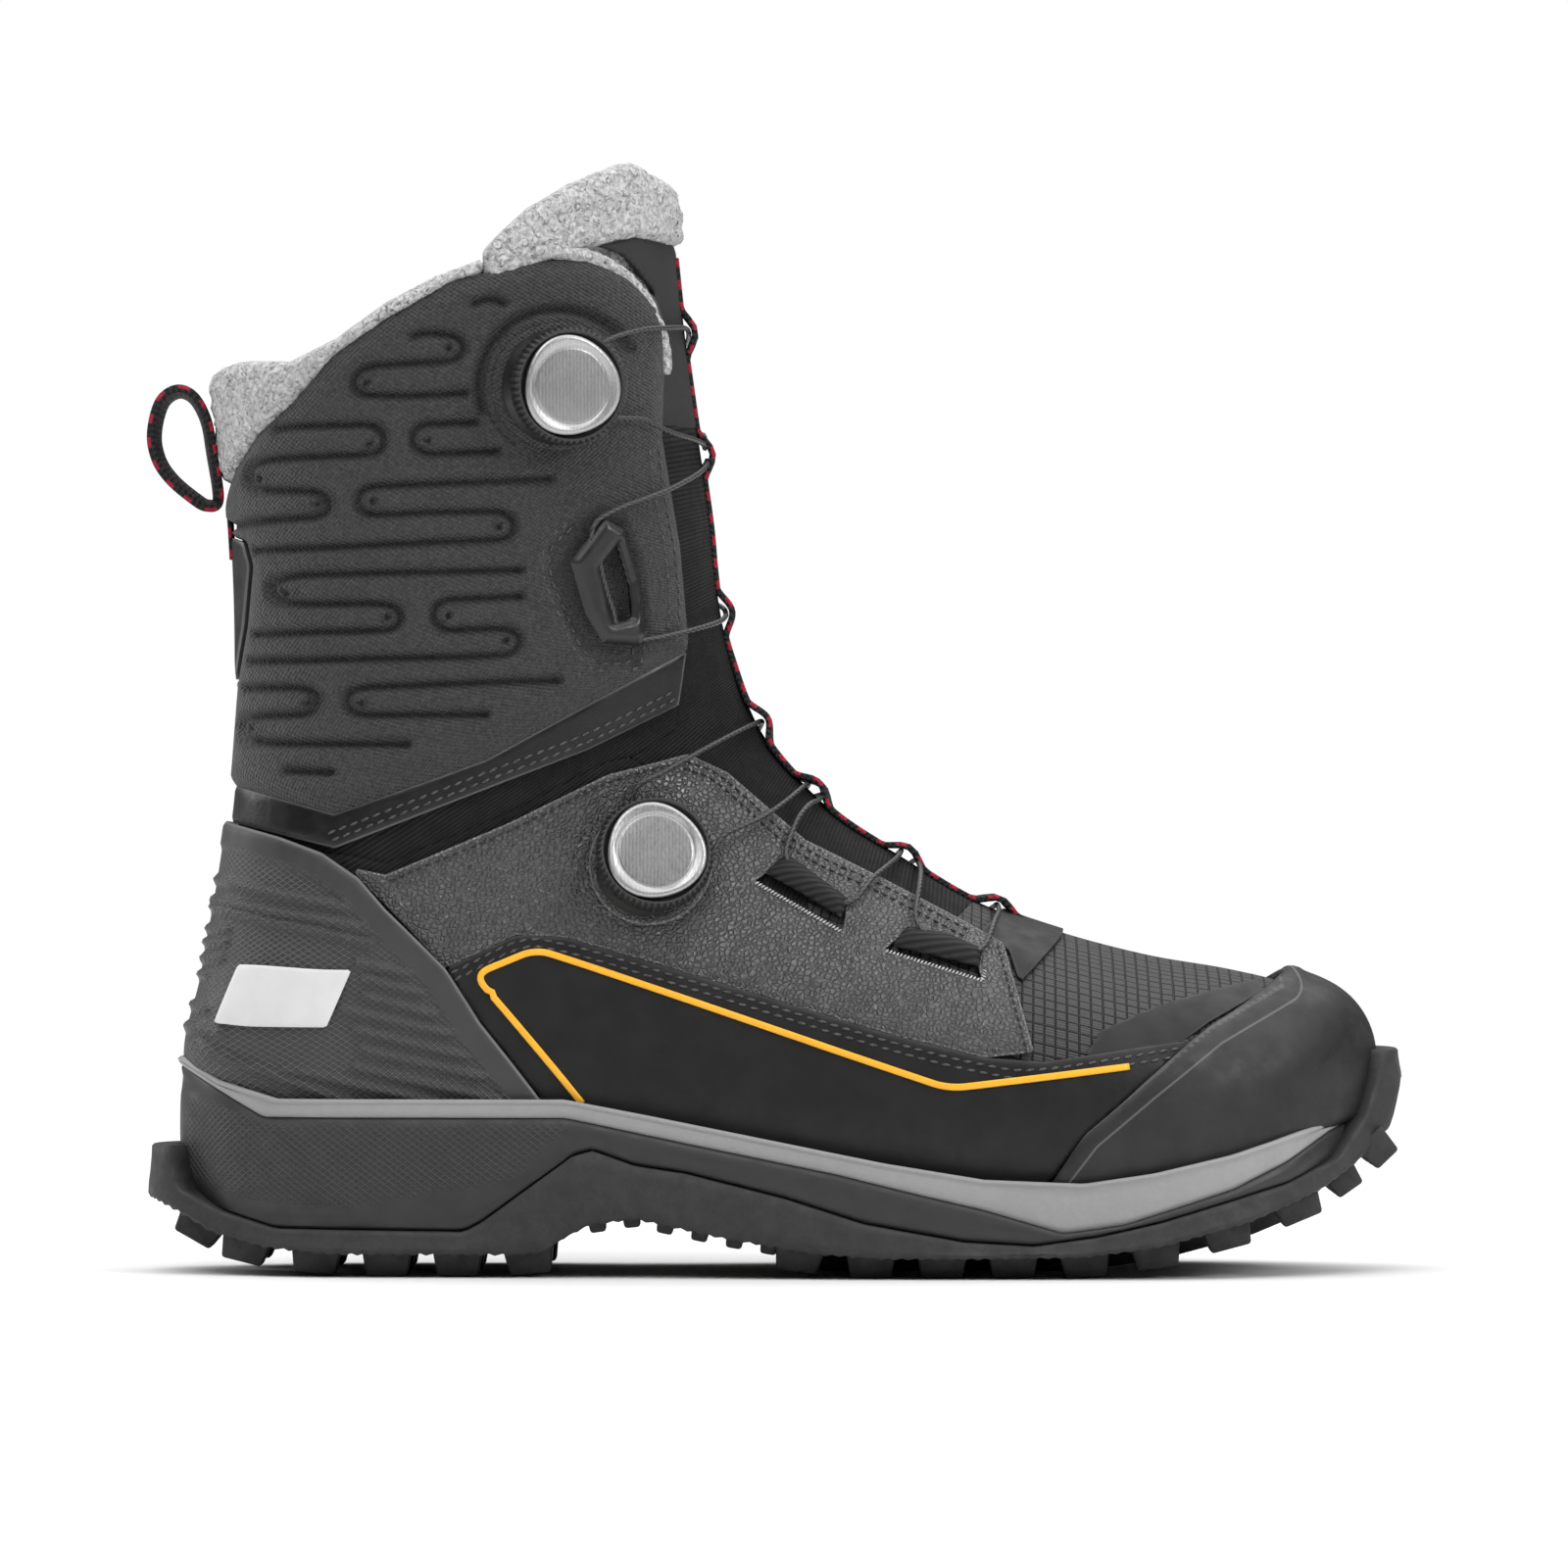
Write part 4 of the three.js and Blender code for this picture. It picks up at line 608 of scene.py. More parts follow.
# materials: sizes in millimetres, heights in millimetres
def newMaterial(name, look):
    material = bpy.data.materials.new(name)
    material.use_nodes = True
    tree = material.node_tree
    tree.nodes.clear()

    def add(kind, inputs=None, **settings):
        node = tree.nodes.new(kind)
        for key, value in settings.items():
            setattr(node, key, value)
        for key, value in (inputs or {}).items():
            if isinstance(value, bpy.types.NodeSocket):
                tree.links.new(value, node.inputs[key])
            else:
                node.inputs[key].default_value = value
        return node

    def maths(operation, a, b=0.0, c=0.0):
        return add("ShaderNodeMath", {0: a, 1: b, 2: c}, operation=operation).outputs[0]

    # solid patterns read the object in millimetres; woven ones follow the piece's own map
    coordinates = add("ShaderNodeTexCoord")
    source = coordinates.outputs["UV" if look.get("follow") else "Object"]
    scale = 1.0 if look.get("follow") else 1 / mm
    place = add("ShaderNodeMapping", {"Vector": source, "Scale": (scale,) * 3}).outputs[0]
    solid = add("ShaderNodeMapping", {"Vector": coordinates.outputs["Object"], "Scale": (1 / mm,) * 3}).outputs[0]
    split = add("ShaderNodeSeparateXYZ", {0: place})
    u, v = split.outputs[0], split.outputs[1]

    def ramp(value, lo, hi, first=0.0, last=1.0):
        inputs = {"Value": value, "From Min": lo, "From Max": hi, "To Min": first, "To Max": last}
        return add("ShaderNodeMapRange", inputs, interpolation_type="SMOOTHSTEP").outputs[0]

    def pattern(kind, size, other=None):
        other = size if other is None else other
        if kind == "noise":
            return add("ShaderNodeTexNoise", {"Vector": solid, "Scale": 1 / size, "Detail": 3.0}).outputs[0]
        if kind == "pebble":
            cells = add("ShaderNodeTexVoronoi", {"Vector": solid, "Scale": 1 / size}, feature="DISTANCE_TO_EDGE")
            return ramp(cells.outputs["Distance"], 0.0, 0.22)
        if kind == "tufts":
            cells = add("ShaderNodeTexVoronoi", {"Vector": solid, "Scale": 1 / size}, feature="SMOOTH_F1")
            return ramp(cells.outputs["Distance"], 0.0, 0.8, 1.0, 0.0)
        if kind == "mesh":
            a = maths("PINGPONG", maths("ADD", maths("DIVIDE", u, size), maths("DIVIDE", v, other)), 0.5)
            b = maths("PINGPONG", maths("SUBTRACT", maths("DIVIDE", u, size), maths("DIVIDE", v, other)), 0.5)
            return ramp(maths("MINIMUM", a, b), 0.03, 0.2, 1.0, 0.0)
        if kind == "grid":
            a = maths("PINGPONG", maths("DIVIDE", u, size), 0.5)
            b = maths("PINGPONG", maths("DIVIDE", v, other), 0.5)
            return ramp(maths("MINIMUM", a, b), 0.02, 0.11, 1.0, 0.0)
        if kind == "weave":
            a = maths("SINE", maths("MULTIPLY", u, 2 * math.pi / size))
            b = maths("SINE", maths("MULTIPLY", v, 2 * math.pi / other))
            return maths("MULTIPLY_ADD", maths("MULTIPLY", a, b), 0.5, 0.5)
        if kind == "ribs":
            return maths("PINGPONG", maths("DIVIDE", v, size), 0.5)
        if kind == "cords":
            return maths("PINGPONG", maths("DIVIDE", u, size), 0.5)
        if kind == "plait":
            return maths("PINGPONG", maths("ADD", maths("DIVIDE", u, size), maths("DIVIDE", v, other)), 0.5)
        raise ValueError(kind)

    def sized(kind, size):
        return pattern(kind, *(size if isinstance(size, tuple) else (size,)))

    def bump(height, depth, below):
        inputs = {"Height": height, "Distance": depth * mm, "Strength": 1.0}
        return add("ShaderNodeBump", inputs if below is None else {**inputs, "Normal": below}).outputs[0]

    heights = {}
    normal = None
    for kind, size, depth in look.get("bumps", ()):
        heights[kind, size] = sized(kind, size)
        normal = bump(heights[kind, size], depth, normal)

    def mix(factor, a, b):
        node = add("ShaderNodeMix", data_type="RGBA")
        for index, value in ((0, factor), (6, a), (7, b)):
            if isinstance(value, bpy.types.NodeSocket):
                tree.links.new(value, node.inputs[index])
            else:
                node.inputs[index].default_value = value if index == 0 else (*value, 1)
        return node.outputs[2]

    colour = look["colour"]
    for kind, size, amount, other in look.get("tints", ()):
        height = heights.get((kind, size)) or sized(kind, size)
        if kind == "noise":
            height = ramp(height, 0.35, 0.65)
        colour = mix(maths("MINIMUM", maths("MULTIPLY", height, amount), 1.0), colour, other)
    # near the cut edges: darker wear on the softshell, and a lighter band on the rand film that is a painted highlight
    if "worn" in look:
        width, amount, other = look["worn"]
        near = add("ShaderNodeAttribute", attribute_name="inside").outputs["Fac"]
        edgeWearAndHighlightShare = maths("MULTIPLY", ramp(near, 0.0, width, 1.0, 0.0), ramp(pattern("noise", 3.0), 0.3, 0.6))
        colour = mix(maths("MULTIPLY", edgeWearAndHighlightShare, amount), colour, other)
    # light lines a set distance inside the cut edges: painted highlights where the edges catch the light
    for lo, hi, other in look.get("lines", ()):
        near = add("ShaderNodeAttribute", attribute_name="inside").outputs["Fac"]
        band = maths("MULTIPLY", ramp(near, lo - 0.15, lo + 0.15), ramp(near, hi - 0.15, hi + 0.15, 1.0, 0.0))
        colour = mix(band, colour, other)
    if "tracer" in look:
        pitch, share, half, other = look["tracer"]
        dash = maths("LESS_THAN", maths("FRACT", maths("DIVIDE", v, pitch)), share)
        middle = maths("COMPARE", maths("ABSOLUTE", u), half, 0.45)
        colour = mix(maths("MULTIPLY", dash, middle), colour, other)
    if "masked" in look:
        # the pattern shows only where the piece's own mask says so; on the softshell it is painted shade in the
        # channels and eyelet holes
        mask = add("ShaderNodeAttribute", attribute_name="mask").outputs["Fac"]
        kind, size, depth, amount, other = look["masked"]
        height = maths("MULTIPLY", pattern(kind, *size), mask)
        normal = bump(height, depth, normal)
        colour = mix(maths("MINIMUM", maths("MULTIPLY", height, amount), 1.0), colour, other)
    shader = add("ShaderNodeBsdfPrincipled", {"Metallic": look.get("metal", 0.0), "Roughness": look["rough"]})
    if "roughNoise" in look:
        size, lo, hi = look["roughNoise"]
        tree.links.new(ramp(pattern("noise", size), 0.3, 0.7, lo, hi), shader.inputs["Roughness"])
    if "sheen" in look:
        shader.inputs["Sheen Weight"].default_value = look["sheen"]
        shader.inputs["Sheen Roughness"].default_value = look.get("sheenRough", 0.5)
    if "coat" in look:
        shader.inputs["Coat Weight"].default_value = look["coat"]
        shader.inputs["Coat Roughness"].default_value = look.get("coatRough", 0.3)
    shader.inputs["Specular IOR Level"].default_value = look.get("specular", 0.5)
    if isinstance(colour, bpy.types.NodeSocket):
        tree.links.new(colour, shader.inputs["Base Color"])
    else:
        shader.inputs["Base Color"].default_value = (*colour, 1)
    if normal is not None:
        tree.links.new(normal, shader.inputs["Normal"])
    tree.links.new(shader.outputs[0], add("ShaderNodeOutputMaterial").inputs[0])
    return material


def grey(value, warm=0.0):
    # a little red when warm is positive, a little blue when it is negative
    return (value * (1 + max(warm, 0)), value, value * (1 + abs(warm) * (0.5 if warm > 0 else 2.0)))


finishes = {name: newMaterial(name, look) for name, look in {
    "softshell": {"colour": grey(0.026, 0.05), "rough": 0.85, "follow": True, "sheen": 0.12, "sheenRough": 0.6,
                  "bumps": [("noise", 2.6, 0.3), ("weave", (1.5, 1.1), 0.4), ("noise", 1.0, 0.6)],
                  "tints": [("weave", (1.5, 1.1), 0.7, grey(0.066, 0.04)), ("noise", 1.0, 0.7, grey(0.008, 0.04)),
                            ("noise", 6.0, 0.3, grey(0.036, 0.04))],
                  # its mask tint darkens the channels and eyelet holes to near black: painted shade
                  "worn": (1.2, 0.5, grey(0.012)), "masked": ("noise", (0.6,), 0.05, 1.6, grey(0.002))},
    "coatedBand": {"colour": grey(0.0045), "rough": 0.36, "specular": 0.4,
                   "bumps": [("noise", 0.8, 0.05), ("noise", 9.0, 0.4)],
                   "tints": [("noise", 8.0, 0.3, grey(0.008))], "roughNoise": (5.0, 0.34, 0.48),
                   # the light line along its cut edges is a painted highlight
                   "lines": [(0.0, 0.5, grey(0.075))]},
    "leather": {"colour": grey(0.038, -0.02), "rough": 0.42, "specular": 0.8,
                "bumps": [("pebble", 1.3, 0.32), ("noise", 8.0, 0.8)],
                "tints": [("pebble", 1.3, 0.6, grey(0.078, -0.03)), ("noise", 9.0, 0.4, grey(0.024, -0.03))],
                # the light line along its cut edges is a painted highlight
                "roughNoise": (2.0, 0.3, 0.46), "lines": [(0.0, 0.5, grey(0.12))]},
    "randFilm": {"colour": grey(0.0065), "rough": 0.48, "specular": 0.32,
                 "bumps": [("noise", 0.5, 0.03), ("noise", 12.0, 0.3)],
                 "tints": [("noise", 10.0, 0.35, grey(0.016))], "roughNoise": (6.0, 0.44, 0.58),
                 # the lighter band along its edges is a painted highlight
                 "worn": (0.8, 0.5, grey(0.05))},
    "toeRubber": {"colour": grey(0.0135), "rough": 0.48, "specular": 0.4, "bumps": [("noise", 0.35, 0.05)],
                  "tints": [("noise", 9.0, 0.4, grey(0.029)), ("noise", 1.0, 0.25, grey(0.016))],
                  # the light lines along its rear edge and along the step of its raised strip are painted highlights
                  "roughNoise": (4.0, 0.44, 0.58), "lines": [(0.0, 0.5, grey(0.06)), (4.1, 4.6, grey(0.10))]},
    "counterRubber": {"colour": grey(0.036), "rough": 0.5, "follow": True, "bumps": [("noise", 0.4, 0.04)],
                      "masked": ("mesh", (2.1, 1.5), 0.7, 0.9, grey(0.13)),
                      "tints": [("noise", 8.0, 0.35, grey(0.048))], "roughNoise": (4.0, 0.44, 0.58),
                      # the light line along its cut edges is a painted highlight
                      "lines": [(0.0, 0.6, grey(0.12))]},
    "ripstop": {"colour": grey(0.022), "rough": 0.6, "follow": True,
                "bumps": [("cords", (0.75,), 0.25), ("grid", (2.7, 3.0), 0.8)],
                "tints": [("cords", (0.75,), 1.5, grey(0.062)), ("grid", (2.7, 3.0), 1.6, grey(0.003))]},
    "elasticCloth": {"colour": grey(0.003), "rough": 0.8, "specular": 0.25, "follow": True,
                     "bumps": [("ribs", (1.5,), 0.7), ("weave", (0.9, 1.5), 0.1), ("noise", 6.0, 0.8)],
                     "tints": [("ribs", (1.5,), 1.5, grey(0.030)), ("noise", 5.0, 0.5, grey(0.005))]},
    "smoothCloth": {"colour": grey(0.015), "rough": 0.6, "follow": True,
                    "bumps": [("weave", (0.7, 0.7), 0.08), ("noise", 12.0, 0.8)],
                    "tints": [("noise", 9.0, 0.35, grey(0.022))]},
    "fleece": {"colour": grey(0.60), "rough": 0.95, "sheen": 0.2, "sheenRough": 0.7,
               "bumps": [("tufts", 2.1, 1.6), ("noise", 0.8, 1.0)],
               "tints": [("tufts", 2.1, 0.6, grey(0.82)), ("noise", 1.2, 0.65, grey(0.24)),
                         ("noise", 6.0, 0.3, grey(0.48))]},
    "greyFoam": {"colour": grey(0.30), "rough": 0.5, "bumps": [("noise", 0.5, 0.04)],
                 "tints": [("noise", 7.0, 0.35, grey(0.34)), ("noise", 1.2, 0.2, grey(0.25))],
                 "roughNoise": (5.0, 0.45, 0.58)},
    "midsoleFoam": {"colour": grey(0.023, -0.03), "rough": 0.5, "follow": True, "bumps": [("noise", 0.5, 0.04)],
                    "masked": ("mesh", (2.3, 1.7), 0.45, 0.6, grey(0.075, -0.03)),
                    "tints": [("noise", 12.0, 0.4, grey(0.030, -0.03))], "roughNoise": (5.0, 0.44, 0.6)},
    "treadRubber": {"colour": grey(0.023), "rough": 0.62, "bumps": [("noise", 0.5, 0.08)],
                    "tints": [("noise", 6.0, 0.45, grey(0.034)), ("noise", 1.0, 0.3, grey(0.016))],
                    "roughNoise": (4.0, 0.55, 0.75)},
    "piping": {"colour": (0.95, 0.47, 0.022), "rough": 0.42, "bumps": [("noise", 0.5, 0.02)],
               "tints": [("noise", 4.0, 0.3, (0.86, 0.40, 0.015))]},
    "patch": {"colour": grey(0.72), "rough": 0.45, "bumps": [("noise", 0.4, 0.02)],
              "tints": [("noise", 5.0, 0.35, grey(0.64))]},
    "thread": {"colour": grey(0.030), "rough": 0.5, "bumps": [("noise", 0.3, 0.1)],
               "tints": [("noise", 0.6, 0.7, grey(0.11))]},
    "darkThread": {"colour": grey(0.004), "rough": 0.5, "bumps": [("noise", 0.3, 0.1)],
                   "tints": [("noise", 0.6, 0.6, grey(0.02))]},
    "paleThread": {"colour": grey(0.30), "rough": 0.6, "bumps": [("noise", 0.3, 0.1)],
                   "tints": [("noise", 0.6, 0.7, grey(0.75))]},
    "lace": {"colour": grey(0.012), "rough": 0.4, "follow": True, "bumps": [("plait", (1.3, 1.7), 0.2)],
             "tints": [("plait", (1.3, 1.7), 1.2, grey(0.10))]},
    "webbing": {"colour": grey(0.003), "rough": 0.7, "specular": 0.25, "follow": True,
                "bumps": [("ribs", (1.3,), 0.5)], "tints": [("ribs", (1.3,), 1.2, grey(0.040))]},
    "tracerWebbing": {"colour": grey(0.003), "rough": 0.7, "specular": 0.3, "follow": True,
                      "bumps": [("ribs", (1.5,), 0.4), ("weave", (1.3, 1.5), 0.2)],
                      "tints": [("ribs", (1.5,), 0.9, grey(0.045))],
                      "tracer": (5.6, 0.42, 5.2, (0.36, 0.010, 0.035))},
    "mouldedPlastic": {"colour": grey(0.012), "rough": 0.34, "bumps": [("noise", 0.4, 0.04)],
                       "tints": [("noise", 3.0, 0.3, grey(0.020))], "roughNoise": (2.0, 0.28, 0.42)},
    "dialRubber": {"colour": grey(0.017), "rough": 0.5, "bumps": [("noise", 0.3, 0.05)],
                   "tints": [("noise", 2.0, 0.4, grey(0.03))]},
    "dialMetal": {"colour": grey(0.34), "rough": 0.36, "metal": 0.8, "follow": True,
                  "bumps": [("cords", (0.9,), 0.03)],
                  "tints": [("cords", (0.9,), 1.6, grey(0.24)), ("noise", 6.0, 0.3, grey(0.40))],
                  "roughNoise": (0.6, 0.32, 0.44),
                  "masked": ("noise", (0.4,), 0.004, 0.8, grey(0.60))},
    "steel": {"colour": grey(0.55), "rough": 0.3, "metal": 1.0, "bumps": [("noise", 0.3, 0.01)],
              "tints": [("noise", 4.0, 0.4, grey(0.45))], "roughNoise": (1.0, 0.25, 0.4)},
    "board": {"colour": (0.55, 0.45, 0.30), "rough": 0.85, "bumps": [("noise", 0.6, 0.08)],
              "tints": [("noise", 1.5, 0.5, (0.45, 0.36, 0.24))]},
    "felt": {"colour": grey(0.16), "rough": 0.95, "bumps": [("noise", 0.5, 0.2)],
             "tints": [("noise", 0.8, 0.6, grey(0.25)), ("noise", 6.0, 0.3, grey(0.12))]},
    "laminate": {"colour": grey(0.6), "rough": 0.6, "bumps": [("noise", 0.6, 0.04)],
                 "tints": [("noise", 2.0, 0.3, grey(0.5))]},
}.items()}
print("materials ready:", len(finishes))


def paintNode(node, material):
    mesh = frame["nodes"][node].data
    mesh.materials.clear()
    mesh.materials.append(material)


for node, finish in {
    "membrane_bootie": "laminate", "strobel_sole": "felt", "toe_puff": "board", "insole_board": "board",
    "shank": "steel", "footbed": "felt",
}.items():
    paintNode(node, finishes[finish])

# the upper: overlays in their layers
aboveFeather = above(raised(featherLine, -0.6))
embossing = {"depth": 2.3, "half": 0.9, "shoulder": 1.7, "pillow": 0.9}
channels = [
    [[21.8, 239.7], [24.2, 240.6], [26.8, 240.6], [28.4, 239.7]],
    [[7.3, 231.8], [9.8, 232.5], [13.9, 232.3], [17.6, 231.4], [19.3, 228.9], [17.6, 226.5], [13.9, 225.6],
     [2.3, 225.0], [-3.5, 224.5], [-6.4, 222.7], [-7.1, 220.2], [-5.6, 218.2], [-2.7, 217.6], [5.6, 217.3],
     [13.9, 217.6], [19.7, 217.9]],
    [[-25.1, 209.6], [-19.3, 210.3], [-8.5, 210.4], [-2.7, 210.3], [-0.2, 208.2], [0.2, 205.7], [-1.4, 203.6],
     [-5.2, 203.0], [-15.1, 202.8], [-25.9, 202.4], [-30.5, 201.3], [-31.7, 198.7], [-30.9, 196.0], [-27.6, 194.7],
     [-19.3, 194.4], [-15.1, 193.7], [-13.0, 191.6], [-13.5, 189.1], [-16.0, 188.0], [-23.4, 187.5], [-37.5, 186.4]],
    [[22.0, 210.9], [13.9, 210.5], [9.8, 210.3], [7.3, 208.6], [6.9, 206.1], [8.5, 204.1], [12.2, 203.2],
     [27.2, 203.8]],
    [[39.6, 197.0], [26.3, 196.3], [5.6, 195.5], [-1.9, 195.2], [-5.2, 194.1], [-6.0, 191.6], [-4.8, 189.1],
     [-1.0, 188.3], [9.8, 188.7], [22.2, 188.9], [28.0, 188.7], [30.9, 186.6], [30.7, 183.7], [28.0, 182.2],
     [18.1, 181.7], [-2.7, 180.8], [-30.5, 179.8]],
    [[32.6, 174.6], [13.9, 174.2], [-11.0, 173.8], [-20.9, 173.4], [-25.5, 172.1], [-26.3, 169.6], [-24.7, 167.6],
     [-20.9, 166.5], [-11.0, 166.5], [-0.2, 166.3], [3.5, 164.7], [4.1, 162.2], [1.9, 160.1], [-2.7, 159.7],
     [-15.1, 159.5], [-30.1, 158.9]],
    [[32.6, 168.0], [22.2, 167.6], [15.6, 167.3], [12.7, 165.9], [11.8, 163.4], [13.1, 160.9], [16.4, 159.8],
     [26.3, 160.1], [30.9, 159.3], [32.6, 156.8], [30.9, 154.3], [27.2, 153.5], [13.9, 153.0], [-11.0, 152.6],
     [-31.3, 152.2]],
    [[-32.5, 145.4], [-23.4, 145.7], [-19.3, 145.4], [-16.4, 143.9], [-15.8, 141.4], [-17.6, 139.4], [-20.9, 138.9],
     [-30.1, 138.5], [-33.4, 137.3], [-33.8, 134.8], [-32.1, 132.7], [-27.6, 131.9], [-11.0, 131.6], [5.6, 131.5]],
    [[41.7, 147.2], [26.3, 146.8], [5.6, 146.0], [-4.3, 145.6], [-8.1, 144.3], [-8.9, 141.8], [-7.7, 139.8],
     [-4.3, 138.9], [5.6, 138.8], [24.3, 138.8]],
    [[-22.5, 124.9], [-12.6, 124.5]],
]
eyelets = [
    [15.7, 228.9], [-3.8, 220.6], [-3.1, 205.7], [-29.1, 197.8], [-15.5, 191.0], [10.8, 206.4], [-2.3, 191.6],
    [27.6, 185.2], [-22.8, 169.2], [1.0, 163.0], [15.6, 163.2], [29.3, 157.0], [-17.9, 141.8], [-31.3, 135.2],
    [-5.2, 141.8],
]
guideRecess = [[43.5, 187.5], [37.5, 181.0], [37.5, 172.0], [41.5, 162.0], [45.0, 154.0], [50.5, 149.0],
               [61.0, 150.0], [63.5, 160.0], [61.0, 178.0], [57.0, 188.0], [50.0, 191.0]]
dialSpots = {"upper": [41.4, 219.7], "lower": [65.0, 101.8]}


def ringLine(spot, radius, first=0, last=360):
    turns = np.radians(np.arange(first, last + 1, 8))
    return np.stack([spot[0] + radius * np.cos(turns), spot[1] + radius * np.sin(turns)], 1)


channels.append(ringLine(dialSpots["upper"], 18.6, 30, 205))
roundedChannels = [roundedLine(line, 1.0) for line in channels]


def channelDistance(points):
    near = np.min([distanceToLine(points, line) for line in roundedChannels], axis=0)
    spots = np.min([np.hypot(points[:, 0] - x, points[:, 1] - z) for x, z in eyelets], axis=0)
    return near, spots


def quilting(facts):
    points = np.stack([facts["x"], facts["z"]], 1)
    near = channelDistance(points)[0]
    half, shoulder = embossing["half"], embossing["shoulder"]
    k = np.clip((near - half * 0.3) / shoulder, 0, 1)
    dent = embossing["depth"] * (1 - k * k * (3 - 2 * k))
    for spot in eyelets:
        away = np.hypot(points[:, 0] - spot[0], points[:, 1] - spot[1])
        ring = np.exp(-(((away - 1.9) / 0.6) ** 2)) * 0.35
        dent = np.maximum(dent - ring, 2.2 * (1 - np.clip(away / 1.2, 0, 1) ** 2))
    # pillows between the channels
    dent -= embossing["pillow"] * np.clip((near - 1.2) / 3, 0, 1) * np.clip((9 - near) / 4, 0, 1)
    inGuide = np.where(facts["y"] < 0, -distanceTo(points, guideRecess), -1.0)
    dent = np.maximum(dent, 2.2 * np.clip(inGuide / 2.5, 0, 1))
    return -dent


def sideView(piece):
    # a piece's vertices in side view
    return np.array([(v.co.x, v.co.z) for v in piece.data.vertices]) / mm


def setMask(piece, values):
    attribute = piece.data.attributes.new("mask", "FLOAT", "POINT")
    attribute.data.foreach_set("value", np.asarray(values, np.float32))


slots = [
    [[90.9, 97.2], [97.5, 101.4], [113.3, 90.4], [112.6, 84.5]],
    [[122.5, 80.1], [126, 82.8], [145, 78.3], [146.6, 72.4]],
]
panels = {
    "shaftPanel": {"node": "shaft_panel", "slot": "softshell", "finish": "softshell", "outline": "shaft", "top": 4.0,
                   "thick": 1.6, "spacing": 1.0, "roll": 5.0, "drop": 2.4, "edge": 0.4, "relief": quilting,
                   "weave": followUv},
    "shaftBand": {"node": "shaft_band", "slot": "coated_band", "finish": "coatedBand", "outline": "band", "top": 1.9,
                  "thick": 1.5, "spacing": 1.3, "roll": 1.2, "drop": 0.4, "edge": 0.35, "weave": sideUv},
    "quarter": {"node": "quarter", "slot": "leather", "finish": "leather", "outline": "quarter", "top": 1.8,
                "thick": 1.5, "spacing": 1.3, "roll": 1.2, "drop": 0.4, "edge": 0.4, "weave": sideUv},
    "sideRand": {"node": "side_rand", "slot": "rand_film", "finish": "randFilm", "outline": "rand", "top": 2.1,
                 "thick": 1.7, "spacing": 1.3, "roll": 1.0, "drop": 0.35, "edge": 0.3, "weave": sideUv},
    "vampFilm": {"node": "vamp_film", "slot": "rand_film", "finish": "randFilm", "outline": "film", "top": 1.05,
                 "thick": 0.7, "spacing": 1.0, "edge": 0.2, "weave": sideUv},
    "heelPatch": {"node": "heel_patch", "slot": "reflective_patch", "finish": "patch", "outline": "heelPatch",
                  "top": 4.6, "thick": 0.9, "spacing": 0.9, "roll": 0.8, "drop": 0.3, "edge": 0.2, "weave": sideUv},
}
for name, settings in panels.items():
    for side in ("outer", "inner"):
        cuts = slots if (name, side) == ("quarter", "outer") else []
        level = region(("in", outlines[settings["outline"]]), ("in", aboveFeather), *(("out", cut) for cut in cuts))
        piece = layPanel(f"{name}_{side}", [f"{settings['node']}_{side}"], settings["finish"],
                         {**settings, "level": level, "side": side})
        if name == "shaftPanel":
            # the mask covers the channel bottoms and eyelet holes, where the softshell's tint paints shade
            near, holes = channelDistance(sideView(piece))
            setMask(piece, np.maximum(np.clip(1.15 - near / 1.5, 0, 1), np.clip(1.2 - holes / 1.3, 0, 1)))
    print("laid", name)

# the pieces that wrap round the heel or over the front
heelRibs = [
    [[-43.5, 98.0], [-8.9, 90.9]], [[-43.5, 92.7], [-2.2, 85.6]], [[-41.2, 90.5], [-3.3, 82.1]],
    [[-6.7, 77.7], [5.3, 75.1]], [[-5.2, 73.8], [8.7, 70.2]], [[-5.2, 69.6], [12.1, 65.0]],
    [[-11.9, 66.6], [15.9, 60.3]], [[-7.4, 61.4], [20.0, 54.8]], [[-5.9, 56.7], [24.1, 49.9]],
    [[-7.4, 52.6], [28.6, 44.3]], [[-23.9, 52.2], [12.1, 44.3]], [[-45.7, 57.4], [-8.9, 44.3]],
    [[-60, 84.5], [-37.5, 85.2]], [[-60, 81.1], [-37.8, 81.8]], [[-60, 77.7], [-39.0, 77.7]],
    [[-60, 73.6], [-42.7, 73.6]], [[-60, 68.6], [-42.7, 65.0]], [[-60, 61.2], [-39.0, 60.1]],
]


def counterMask(points):
    # the textured field of the heel counter, inside its plain border
    return np.clip(-distanceTo(points, outlines["counter"]) - 6.0, 0, 1)


def counterRelief(facts):
    points = np.stack([facts["x"], facts["z"]], 1)
    mask = counterMask(points)
    ribs = np.min([distanceToLine(points, line) for line in heelRibs], axis=0)
    lift = 1.15 * np.clip(1.5 - ribs / 0.9, 0, 1)
    clear = np.clip(distanceTo(points, outlines["heelPatch"]) / 1.5, 0, 1)
    return mask * lift * clear - 0.6 * mask


def toeRelief(facts):
    # a raised strip along the rear edge; the cap starts flush with the vamp and stands up towards the tip
    edge = distanceToLine(np.stack([facts["x"], facts["z"]], 1), toeCapEdge)
    strip = 0.45 * (1 - np.clip((edge - 3.9) / 0.7, 0, 1))
    flush = 2.3 * np.clip((223 - facts["x"]) / 22, 0, 1) * np.clip((facts["z"] - 56) / 8, 0, 1)
    rise = 1.6 * np.clip((facts["x"] - 212) / 22, 0, 1) * np.clip((facts["z"] - 45) / 20, 0, 1)
    return strip - flush + rise


